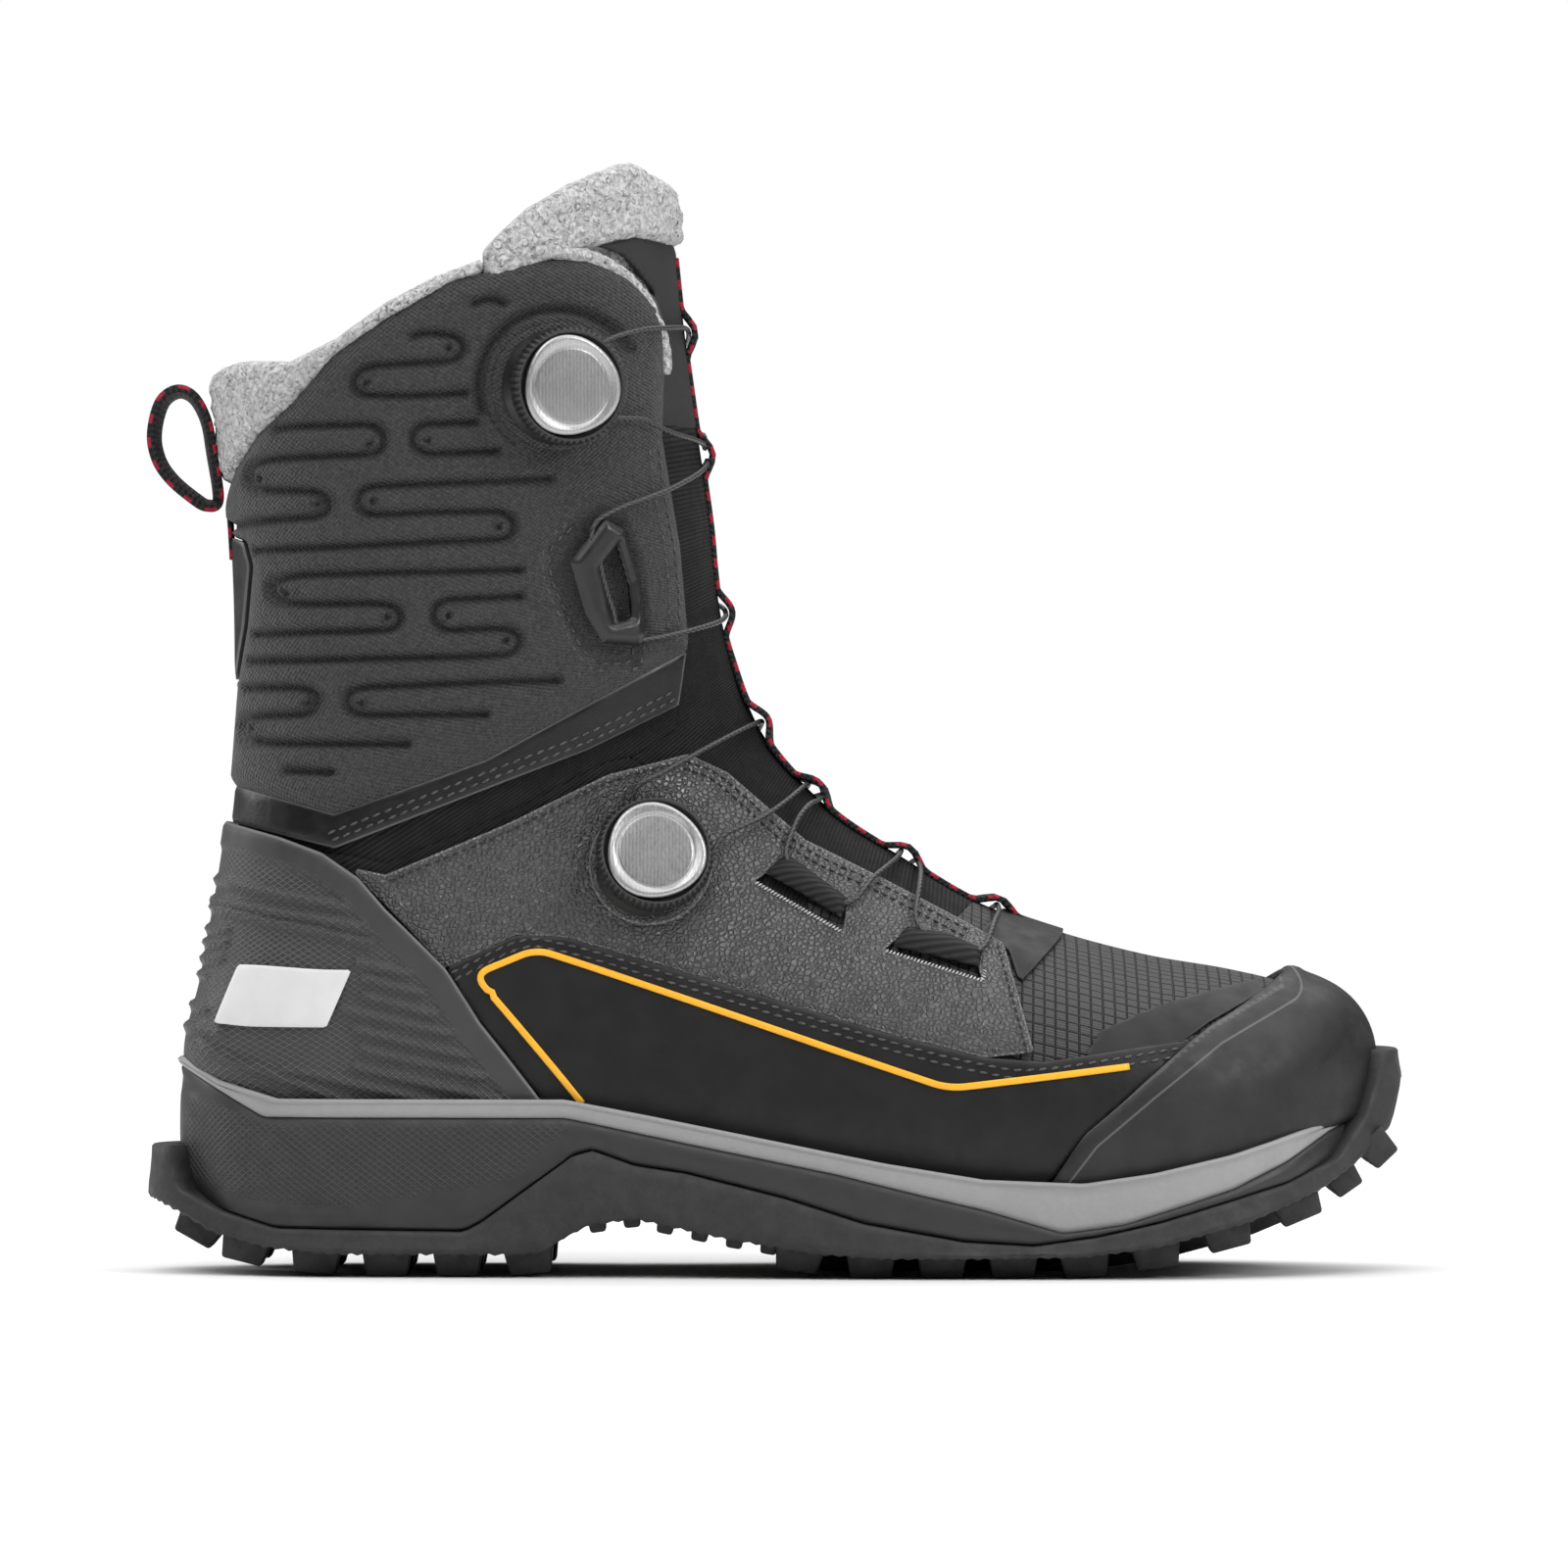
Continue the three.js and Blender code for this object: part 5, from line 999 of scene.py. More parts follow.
wrapped = {
    "heelCounter": {"node": "heel_counter", "slot": "heel_counter_rubber", "finish": "counterRubber",
                    "outline": "counter", "side": "back", "shares": (0.25, 1.75), "top": 3.9, "thick": 2.4,
                    "spacing": 0.9, "roll": 1.6, "drop": 0.8, "edge": 0.3, "relief": counterRelief, "weave": heelUv},
    "backStay": {"node": "back_stay", "slot": "coated_band", "finish": "coatedBand", "outline": "stay", "side": "back",
                 "shares": (0.5, 1.5), "top": 2.9, "thick": 1.5, "spacing": 1.3, "roll": 1.0, "drop": 0.35,
                 "edge": 0.3, "weave": heelUv},
    "toeCap": {"node": "toe_cap", "slot": "rand_film", "finish": "toeRubber", "outline": "toe", "side": "front",
               "top": 3.4, "thick": 1.7, "spacing": 1.5, "roll": 1.6, "drop": 0.9, "edge": 0.4, "relief": toeRelief,
               "weave": followUv},
    "vampPatch": {"node": "vamp_patch", "slot": "rand_film", "finish": "randFilm", "outline": "vampPatch",
                  "side": "front", "top": 1.05, "thick": 0.7, "spacing": 1.2, "edge": 0.2, "weave": followUv},
    "vampCloth": {"node": "vamp_textile", "slot": "ripstop", "finish": "ripstop", "outline": "vamp", "side": "front",
                  "top": 0.0, "thick": 1.1, "spacing": 2.0, "weave": followUv},
    "instepGusset": {"node": "instep_gusset", "slot": "textile", "finish": "elasticCloth", "outline": "gusset",
                     "side": "front", "top": 0.0, "thick": 1.1, "spacing": 1.6, "weave": followUv},
}
strobelUp = above(raised(featherLine, -6))
for name, settings in wrapped.items():
    level = region(("in", outlines[settings["outline"]]), ("in", aboveFeather))
    if name == "vampCloth":
        level = region(("in", outlines["vamp"]), ("out", outlines["gusset"]), ("in", strobelUp))
    piece = layPanel(name, [settings["node"]], settings["finish"], {**settings, "level": level})
    if name == "toeCap":
        # its painted highlight lines keep to the rear edge
        edge = distanceToLine(sideView(piece), toeCapEdge)
        piece.data.attributes["inside"].data.foreach_set("value", edge.astype(np.float32))
    if name in ("vampCloth", "instepGusset"):
        declareSheet(piece)
    if name == "heelCounter":
        setMask(piece, counterMask(sideView(piece)))
    print("laid", name)

# cloth under the overlays
footRegion = below([[-100, 112], [-9, 104], [0, 102], [30, 114.5], [54, 127], [73.6, 131.5]])
collarBelow = below(raised(collarEdge, -1.0), -80, 620)
besideFront = (("out", outlines["gusset"]), ("out", outlines["vamp"]))
cloths = {
    "shaftCloth": {"node": "shaft_backing", "finish": "elasticCloth", "side": "back", "top": 0.1, "thick": 1.1,
                   "spacing": 2.4, "weave": followUv,
                   "level": region(("in", collarBelow), ("out", footRegion), *besideFront)},
    "footCloth": {"node": "foot_backing", "finish": "elasticCloth", "side": "back", "top": 0.1, "thick": 1.1,
                  "spacing": 2.4, "weave": followUv,
                  "level": region(("in", footRegion), ("in", strobelUp), *besideFront)},
    "tonguePanel": {"node": "tongue_panel", "finish": "smoothCloth", "side": "front", "top": 0.3, "thick": 1.3,
                    "spacing": 1.6, "roll": 2.0, "drop": 0.5, "weave": followUv,
                    "level": region(("in", outlines["tongueCloth"]), ("in", above([[0, 210], [120, 210]])),
                                    ("out", below(raised(fleeceEdge, 0.3), -80, 66.3)))},
}
for name, settings in cloths.items():
    piece = layPanel(name, [settings["node"]], settings["finish"], settings)
    declareSheet(piece)
print("laid cloth")

# fleece: the collar, the sock below it, and the tongue
pile = {"lump": 0.9, "size": 3.4, "curl": 0.75, "curlSize": 1.25}


def pileNoise(points):
    out = np.empty(len(points))
    for i, p in enumerate(points):
        big = noise.noise(Vector(p / pile["size"]))
        small = noise.noise(Vector(p / pile["curlSize"]) + Vector((7, 3, 1)))
        out[i] = pile["lump"] * big + pile["curl"] * small
    return out


def fleecePiece(name, nodes, level, side, spacing, outerLift, innerLift):
    # two skins of pile joined all round the edge
    bm = panelSheet(level, side, spacing)
    biggestPart(bm)
    for f in bm.faces:
        f.normal_flip()
    made = bmesh.ops.extrude_face_region(bm, geom=bm.faces[:], use_keep_orig=True)["geom"]
    inner = {v for v in made if isinstance(v, bmesh.types.BMVert)}
    lt, la = bm.verts.layers.float["t"], bm.verts.layers.float["a"]
    t = np.array([v[lt] for v in bm.verts])
    a = np.array([v[la] for v in bm.verts])
    isInner = np.array([v in inner for v in bm.verts])
    bare = skin(t, a)
    inside = np.maximum(0, -level(bare[:, [0, 2]]))
    facts = {"x": bare[:, 0], "y": bare[:, 1], "z": bare[:, 2], "inside": inside, "a": a, "t": t}
    lift = np.where(isInner, innerLift(facts), outerLift(facts))
    rough = pileNoise(bare + np.where(isInner, 50, 0)[:, None])
    for v, p in zip(bm.verts, offSkin(t, a, lift + rough * np.where(isInner, -1, 1))):
        v.co = p
    outward(bm)
    piece = finishPiece(name, bm, finishes["fleece"], nodes)
    return piece


def rollOver(inside, radius):
    # how far a rounded edge has fallen at a distance inside it
    k = np.clip(1 - inside / radius, 0, 1)
    return 1 - np.sqrt(np.maximum(0, 1 - k * k))


def fromLine(facts, line):
    xs, zs = np.array(line).T
    return facts["z"] - np.interp(facts["x"], xs, zs)


def collarOuter(facts):
    over = np.clip((fromLine(facts, collarEdge) + 1.5) / 2.5, 0, 1)
    lift = -2.6 + 6.2 * over * over * (3 - 2 * over)
    return lift - 3.8 * rollOver(facts["inside"], 5.0)


def collarInner(facts):
    near = np.clip(1 - facts["inside"] / 14, 0, 1)
    return -6.1 - 0.9 * near + 4.5 * rollOver(facts["inside"], 4.0)


def tongueOuter(facts):
    over = np.clip((fromLine(facts, tongueTop) + 1.0) / 2.5, 0, 1)
    lift = -2.6 + 5.0 * over * over * (3 - 2 * over)
    return lift - 2.6 * rollOver(facts["inside"], 4.0)


def tongueInner(facts):
    return -6.3 + 2.6 * rollOver(facts["inside"], 4.0)


collarTop = below(raised(fleeceEdge, -1.6), -80, 66)
fleecePiece("fleeceCollar", ["fleece_lining"],
            region(("in", collarTop), ("out", outlines["tongue"]), ("in", above([[-310, 150], [620, 150]]))),
            "back", 1.3, collarOuter, collarInner)
fleecePiece("fleeceSock", [], region(("in", below([[-310, 151], [620, 151]]))), "back", 4.0,
            lambda facts: np.full(len(facts["x"]), -2.9), lambda facts: np.full(len(facts["x"]), -6.1))
fleecePiece("tongueFleece", ["tongue_fleece"], region(("in", outlines["tongue"])), "front", 1.3,
            tongueOuter, tongueInner)
print("laid fleece")

# the sole
sole = {"ledge": 3.5, "upper": 3.3, "rear": -52.0, "toe": 243.5, "treadRear": -58.0, "treadToe": 250.2,
        "flare": 1.2, "tip": 6.0, "spacing": 1.7}
treadRun = treadLine[:-1]  # its last point turns back


def lineZ(line, x):
    xs, zs = np.array(line).T
    order = np.argsort(xs, kind="stable")
    return np.interp(x, xs[order], zs[order])


def soleSides(xs):
    spots = np.stack([xs, lineZ(featherLine, xs)], 1)
    found = {}
    for side in (-1, 1):
        t, a = locate(spots, side)
        found[side] = offSkin(t, a, sole["upper"])[:, 1] + side * sole["ledge"]
    return found


def planCurve(rear, toe, grow):
    # the sole's outline in plan, as points and outward directions
    xs = np.arange(-38, 227, 11.0)
    ys = soleSides(xs)
    tip = sole["tip"]
    loop = np.array([[rear + 6, 20], [rear, 8], [rear, -8], [rear + 6, -20], *zip(xs, ys[-1]), [toe - 4, tip - 20],
                     [toe, tip - 8], [toe, tip + 8], [toe - 4, tip + 20], *zip(xs[::-1], ys[1][::-1])], float)
    around = np.vstack([loop[-3:], loop, loop[:4]])
    fine = smoothRows(around, np.linspace(3, 3 + len(loop), 40 * len(loop)))
    lengths = cumulative(fine)
    marks = np.linspace(0, lengths[-1], int(lengths[-1] / sole["spacing"]), endpoint=False)
    points = np.stack([np.interp(marks, lengths, fine[:, k]) for k in range(2)], 1)
    ahead = np.roll(points, -1, 0) - np.roll(points, 1, 0)
    ahead /= np.linalg.norm(ahead, axis=1, keepdims=True)
    out = np.stack([ahead[:, 1], -ahead[:, 0]], 1)
    if (out[:, 0] * (points[:, 0] - 90)).sum() < 0:
        out = -out
    return points + grow * out, out, marks


def ringPiece(name, nodes, finish, plan, profile, mask=None):
    # a closed band round the sole; profile gives (outwards, height) rows for each point of the plan
    points, out, marks = plan
    rows = profile(points[:, 0], marks)
    offsets = np.stack([np.broadcast_to(outwards, len(points)) for outwards, _ in rows], 1)
    heights = np.stack([height for _, height in rows], 1)
    grid = np.zeros((*offsets.shape, 3))
    grid[..., :2] = points[:, None] + out[:, None] * offsets[..., None]
    grid[..., 2] = heights
    bm = bmesh.new()
    gridOf(bm, grid, closeU=True, closeV=True)
    outward(bm)
    spots = np.array([v.co for v in bm.verts])
    tree = kdtree.KDTree(len(points))
    for i, p in enumerate(points):
        tree.insert((p[0], p[1], 0), i)
    tree.balance()
    nearest = [tree.find((p[0], p[1], 0))[1] for p in spots]
    uv = np.stack([marks[nearest], spots[:, 2]], 1)
    values = {"mask": mask(spots)} if mask else None
    return finishPiece(name, bm, finishes[finish], nodes, uv=uv, values=values)


def bandProfile(x, marks):
    low, high = lineZ(bandLine, x), lineZ(featherLine, x)
    tall = high - low
    return [(-7, low + 0.2), (-0.2, low), (0.25, low + 0.15 * tall), (0.55, low + 0.4 * tall),
            (0.45, low + 0.7 * tall), (0.3, high - 1.1), (0.75, high - 0.8), (0.75, high - 0.25), (0.2, high + 0.15),
            (-0.8, high + 0.1), (-3.2, high - 0.4), (-7, high - 0.8)]


facets = [[-51, 44.7], [-29.2, 38.3], [45.9, 38.3], [32.4, 24.4], [-8.9, 17.3], [-36.7, 19.2], [-51, 24.4]]


def midsoleMask(spots):
    return np.clip(-distanceTo(spots[:, [0, 2]], facets) / 2.0, 0, 1)


def midsoleProfile(x, marks):
    low, high = lineZ(outsoleLine, x) + 0.2, lineZ(bandLine, x)
    tall = np.maximum(high - low, 0.5)
    rows = [(-8, low), (-0.8, low), (-0.1, low + 0.03 * tall)]
    for k in np.linspace(0.1, 0.9, 11):
        height = low + k * tall
        # flat facets that meet in creases, behind and below
        crease = 0.9 * np.clip(1 - np.abs((x + 28 - (height - 38) * -0.9)) / 9, 0, 1) * (x < 20)
        hollow = -0.9 * np.clip((distanceTo(np.stack([x, height], 1), facets) + 0.5) / 3, 0, 1) * (x < 45)
        rows.append((0.9 * np.sin(math.pi * k) ** 0.7 + crease + hollow, height))
    rows += [(-0.1, low + 0.97 * tall), (-0.7, high), (-8, high)]
    return rows


def serration(marks, pitch):
    return np.abs((marks / pitch) % 1 - 0.5) * 2


def treadProfile(x, marks):
    low, high = lineZ(treadRun, x), lineZ(outsoleLine, x)
    tall = np.maximum(high - low, 1.5)
    teeth = 0.9 * (serration(marks, 3.4) - 0.5)
    return [(-8, high - 0.3), (-2.0, high), (-0.4, high - 0.1), (0.1, high - 0.6),
            (0.2, low + 0.75 * tall), (0.5, low + 0.5 * tall), (0.9, low + 0.25 * tall),
            (1.0, low + 0.9 + teeth * 0.4), (0.4, low + teeth * 0.9), (-1.4, low + 0.1),
            (-8, low + 0.1), (-8.2, low + 2.2)]


upperPlan = planCurve(sole["rear"], sole["toe"], 0)
treadPlan = planCurve(sole["treadRear"], sole["treadToe"], sole["flare"])
ringPiece("midsoleBand", ["midsole_band"], "greyFoam", upperPlan, bandProfile)
ringPiece("midsole", ["midsole"], "midsoleFoam", upperPlan, midsoleProfile, midsoleMask)
ringPiece("outsole", ["outsole"], "treadRubber", treadPlan, treadProfile)


def treadFloor():
    # the flat of the tread inside the rim, drawn in to its middle line
    points = treadPlan[0][::3]
    xs = points[:, 0]
    spineX = np.clip(xs, sole["treadRear"] + 32, sole["treadToe"] - 38)
    spineY = np.interp(spineX, [-20, 60, 150, 215], [0, 0, -1, 4])
    spine = np.stack([spineX, spineY], 1)
    rings = []
    for k in np.linspace(0.06, 1, 9):
        p = points * (1 - k) + spine * k
        rings.append(np.concatenate([p, (lineZ(treadRun, p[:, 0]) + 0.35)[:, None]], 1))
    top = [np.concatenate([r[:, :2], r[:, 2:] + 2.5], 1) for r in rings[::-1]]
    grid = np.stack(rings + top, 1)
    bm = bmesh.new()
    gridOf(bm, grid, closeU=True, closeV=True)
    outward(bm)
    return bm


finishPiece("treadFloor", treadFloor(), finishes["treadRubber"], [])

lugs = {"depth": 5.5, "length": 12.0, "width": 13.0, "pitch": 17.5, "taper": 0.84, "bevel": 0.7, "sunk": 2}


def soleHalf(x, side):
    known = float(np.clip(x, -38, 226))
    t, a = locate([[known, float(lineZ(featherLine, known))]], side)
    return abs(offSkin(t, a, sole["upper"])[0, 1])


def makeLug(x, y, length, width, reach=None):
    z0, z1 = lineZ(treadLine, x - 1.0), lineZ(treadLine, x + 1.0)
    slope = math.atan2(z1 - z0, 2.0)
    flat = abs(slope) < 0.09
    height = lineZ(treadLine, x)
    sunk = lugs["sunk"]  # how far the lug runs up into the tread
    deep = sunk + (reach or (height if flat else lugs["depth"]))
    bm = bmesh.new()
    bmesh.ops.create_cube(bm, size=1)
    for v in bm.verts:
        share = lugs["taper"] if v.co.z < 0 else 1.06
        v.co = Vector((v.co.x * length * share, v.co.y * width * share, sunk if v.co.z > 0 else sunk - deep))
    bmesh.ops.bevel(bm, geom=bm.edges[:], offset=lugs["bevel"], affect="EDGES", segments=2, profile=0.5, material=-1)
    if not flat:
        bmesh.ops.rotate(bm, verts=bm.verts, matrix=Matrix.Rotation(-slope, 3, "Y"))
    bmesh.ops.translate(bm, verts=bm.verts, vec=(x, y, height))
    for v in bm.verts:
        v.co.z = max(v.co.z, 0)  # nothing goes below the ground
    return bm


def lugRows():
    rows = []
    for side in (-1, 1):
        for across, first, last in ((0.78, -35, 35), (0.8, 102, 225)):
            for x in np.arange(first, last + 0.1, lugs["pitch"]):
                rows.append(makeLug(x, across * side * soleHalf(x, side), lugs["length"], lugs["width"]))
    for x in np.arange(112, 225.1, lugs["pitch"]):
        rows.append(makeLug(x, 0.1 * soleHalf(x, 1), lugs["length"], lugs["width"] * 1.6))
    for x in (0, 17.5):
        rows.append(makeLug(x, 0, lugs["length"], lugs["width"]))
    rows.append(makeLug(-47, 0, lugs["length"], lugs["width"] * 1.6))
    for x in (236.0, 244.5):
        for y in (-14, 6, 26):
            rows.append(makeLug(x, y, 8.5, 12))
    for x in np.arange(52, 95, 8.5):
        for side in (-1, 1):
            rows.append(makeLug(x, 0.86 * side * soleHalf(x, side), 4.6, 7, 2.4))
    return join(rows)


finishPiece("lugs", lugRows(), finishes["treadRubber"], [])
print("made the sole")

# webbing over the instep, laces and dials
def nonuniform(points, count):
    # a centripetal curve through the points
    p = np.asarray(points, float)
    ends = np.vstack([2 * p[0] - p[1], p, 2 * p[-1] - p[-2]])
    out = []
    marks = np.linspace(0, len(p) - 1, count)
    for mark in marks:
        i = min(int(mark), len(p) - 2)
        w = mark - i
        p0, p1, p2, p3 = ends[i:i + 4]
        d0, d1, d2 = (max(np.linalg.norm(b - a) ** 0.5, 1e-4) for a, b in ((p0, p1), (p1, p2), (p2, p3)))
        m1 = ((p1 - p0) / d0 - (p2 - p0) / (d0 + d1) + (p2 - p1) / d1) * d1
        m2 = ((p2 - p1) / d1 - (p3 - p1) / (d1 + d2) + (p3 - p2) / d2) * d1
        out.append(p1 + m1 * w + (3 * (p2 - p1) - 2 * m1 - m2) * w**2 + (2 * (p1 - p2) + m1 + m2) * w**3)
    return np.array(out)


def frontStation(x, z):
    t = np.arange(4, lastStation, 0.01)
    p = skin(t, 0.0)
    return float(t[np.argmin(np.hypot(p[:, 0] - x, p[:, 2] - z))])


def strip(centres, normals, section, closed=False):
    # like sweep, but with a weave that follows it: u across from the middle of its face, v along
    grid = sweptGrid(centres, normals, section, closed)
    section = np.asarray(section, float)
    around = cumulative(np.vstack([section, section[:1]]))
    u, v = around[:-1] - around[-1] / 2, cumulative(np.asarray(centres, float))
    grid = np.concatenate([grid, grid[:, :1]], 1)
    u = np.concatenate([u, u[:1]])
    if closed:
        grid = np.concatenate([grid, grid[:1]], 0)
        v = np.concatenate([v, v[:1]])
    bm = bmesh.new()
    for name in ("u", "v"):
        bm.verts.layers.float.new(name)
    lu, lv = bm.verts.layers.float["u"], bm.verts.layers.float["v"]
    nu, nv = grid.shape[:2]
    made = bmesh.ops.create_grid(bm, x_segments=nu - 1, y_segments=nv - 1, size=1)["verts"]
    for vert in made:
        i, j = round((vert.co.x + 1) / 2 * (nu - 1)), round((vert.co.y + 1) / 2 * (nv - 1))
        vert.co = grid[i, j]
        vert[lu], vert[lv] = u[j], v[i]
    bmesh.ops.remove_doubles(bm, verts=made, dist=1e-4)
    if not closed:
        capEnds(bm)
    outward(bm)
    return bm, np.array([(vert[lu], vert[lv]) for vert in bm.verts])


def flatSection(width, thick, corner):
    # starts under the middle, so that the join is out of sight
    corners = strapSection(width, thick, corner)
    return [(0.0, 0.0), *corners[9:], *corners[:3], (0.0, thick), *corners[3:9]]


webbing = {"width": 10.0, "thick": 1.6, "lift": -0.7, "half": 6.5, "rise": 2.9}
crossings = [frontStation(x, z) for x, z in
             ([73.6, 234.5], [77.5, 203.9], [83.4, 164.6], [92, 137.1], [104.3, 118.7], [126.3, 100.8], [151, 90.5])]
ts = np.linspace(frontStation(71, 253), frontStation(157, 88.5), 170)
frontTravel = cumulative(skin(ts, 0.0))
crossTravel = [np.interp(c, ts[::-1], frontTravel[::-1]) for c in crossings]
toCrossing = np.min([np.abs(frontTravel - c) for c in crossTravel], axis=0)
share = np.clip(1 - toCrossing / webbing["half"], 0, 1)
rise = webbing["rise"] * share * share * (3 - 2 * share)  # the webbing arches over each lace
centres = offSkin(ts, np.zeros(len(ts)), webbing["lift"] + rise)
bm, uv = strip(centres, skinNormal(ts, np.zeros(len(ts))), flatSection(webbing["width"], webbing["thick"], 0.45))
finishPiece("instepWebbing", bm, finishes["tracerWebbing"], ["instep_webbing"], uv=uv)

joints = {j["name"]: j for j in frame["joints"]}


def dialFrame(which):
    joint = joints[f"{which}_dial_turn"]
    axis = Vector(joint["axis"]).normalized()
    forward = Vector((1, 0, 0)) - axis * axis.x
    forward.normalize()
    up = axis.cross(forward)
    turn = Matrix((forward, up, axis)).transposed().to_4x4()
    return Matrix.Translation(Vector(joint["pos_m"]) / mm) @ turn


dial = {"ridges": 56, "knurl": 0.32, "spool": 8.6, "lace": 2.9, "housing": 13.2, "flange": 15.6}
dialFrames = {which: dialFrame(which) for which in ("upper", "lower")}


def dialPoint(which, degrees, radius, height):
    turn = math.radians(degrees)
    return dialFrames[which] @ Vector((radius * math.cos(turn), radius * math.sin(turn), height))


def turnedShape(which, rows, count, radiusOf=None):
    # a profile of (radius, height) spun round the dial's axis; radiusOf may shape it as it turns
    turns = np.linspace(0, 2 * np.pi, count, endpoint=False)
    rows = np.array(rows, float)
    radii = np.repeat(rows[None, :, 0], count, 0)
    if radiusOf is not None:
        radii = radiusOf(radii, rows[:, 1][None], turns[:, None])
    grid = np.stack([radii * np.cos(turns)[:, None], radii * np.sin(turns)[:, None],
                     np.repeat(rows[None, :, 1], count, 0)], -1)
    bm = bmesh.new()
    gridOf(bm, grid, closeU=True)
    bmesh.ops.transform(bm, matrix=dialFrames[which], verts=bm.verts)
    outward(bm)
    return bm


def knurled(radii, heights, turns):
    wave = np.clip(1.6 * np.cos(dial["ridges"] * turns), -1, 1)
    rim = (radii > 13.7) & (heights > 5.2)
    return radii + np.where(rim, dial["knurl"] * wave - dial["knurl"], 0)


def lobed(radii, heights, turns):
    return radii + np.where(radii > 10.8, 0.45 * np.cos(3 * turns + 0.6), 0)


knobRows = [(0, 8.95), (12.75, 8.95), (12.85, 9.7), (13.1, 9.95), (13.6, 10.0), (14.1, 9.75), (14.5, 9.2), (14.6, 8.6),
            (14.6, 7.0), (14.6, 6.0), (14.4, 5.4), (13.8, 5.05), (5.4, 5.05), (5.4, 7.9), (0, 7.9)]
capRows = [(0, 9.3), (11.9, 9.3), (12.2, 9.5), (12.25, 10.2), (12.0, 10.55), (11.4, 10.75), (10.9, 10.7), (10.2, 10.45),
           (9.75, 10.32), (9.6, 10.15), (9.4, 10.15), (9.25, 10.32), (8.8, 10.36), (5, 10.4), (0, 10.4)]
housingRows = [(0, 1.3), (9.0, 1.3), (9.0, 4.6), (12.2, 4.6), (13.0, 4.3), (13.2, 3.6), (13.4, 1.5), (14.6, 0.6),
               (14.8, -4), (0, -4)]
for which in ("upper", "lower"):
    finishPiece(f"{which}Knob", turnedShape(which, knobRows, 320, knurled), finishes["dialRubber"],
                [f"{which}_dial_knob"], rides=f"{which}_dial_head")
    cap = turnedShape(which, capRows, 96, lobed)
    spots = np.array([dialFrames[which].inverted() @ v.co for v in cap.verts])
    bright = np.clip((np.hypot(spots[:, 0], spots[:, 1]) - 9.3) / 0.3, 0, 1)  # the rim outside the groove
    finishPiece(f"{which}Cap", cap, finishes["dialMetal"], [f"{which}_dial_cap"],
                rides=f"{which}_dial_head", uv=spots[:, :2], values={"mask": bright})
    finishPiece(f"{which}Housing", turnedShape(which, housingRows, 64), finishes["mouldedPlastic"],
                [f"{which}_dial_housing"])
    paintNode(f"{which}_dial_axle", finishes["steel"])
    paintNode(f"{which}_dial_spool", finishes["mouldedPlastic"])


def circleLevel(spot, radius):
    return lambda points: np.hypot(points[:, 0] - spot[0], points[:, 1] - spot[1]) - radius


surfaceLift = {"padding": 4.3, "leather": 1.9}
for which, surface, finish in (("upper", "padding", "softshell"), ("lower", "leather", "leather")):
    layPanel(f"{which}Flange", [f"{which}_dial_flange"], finish,
             {"level": circleLevel(dialSpots[which], dial["flange"]), "side": "outer", "thick": 1.0, "spacing": 1.0,
              "top": surfaceLift[surface] + 0.9, "roll": 1.5, "drop": 0.6, "edge": 0.2, "weave": sideUv})
print("made the dials")

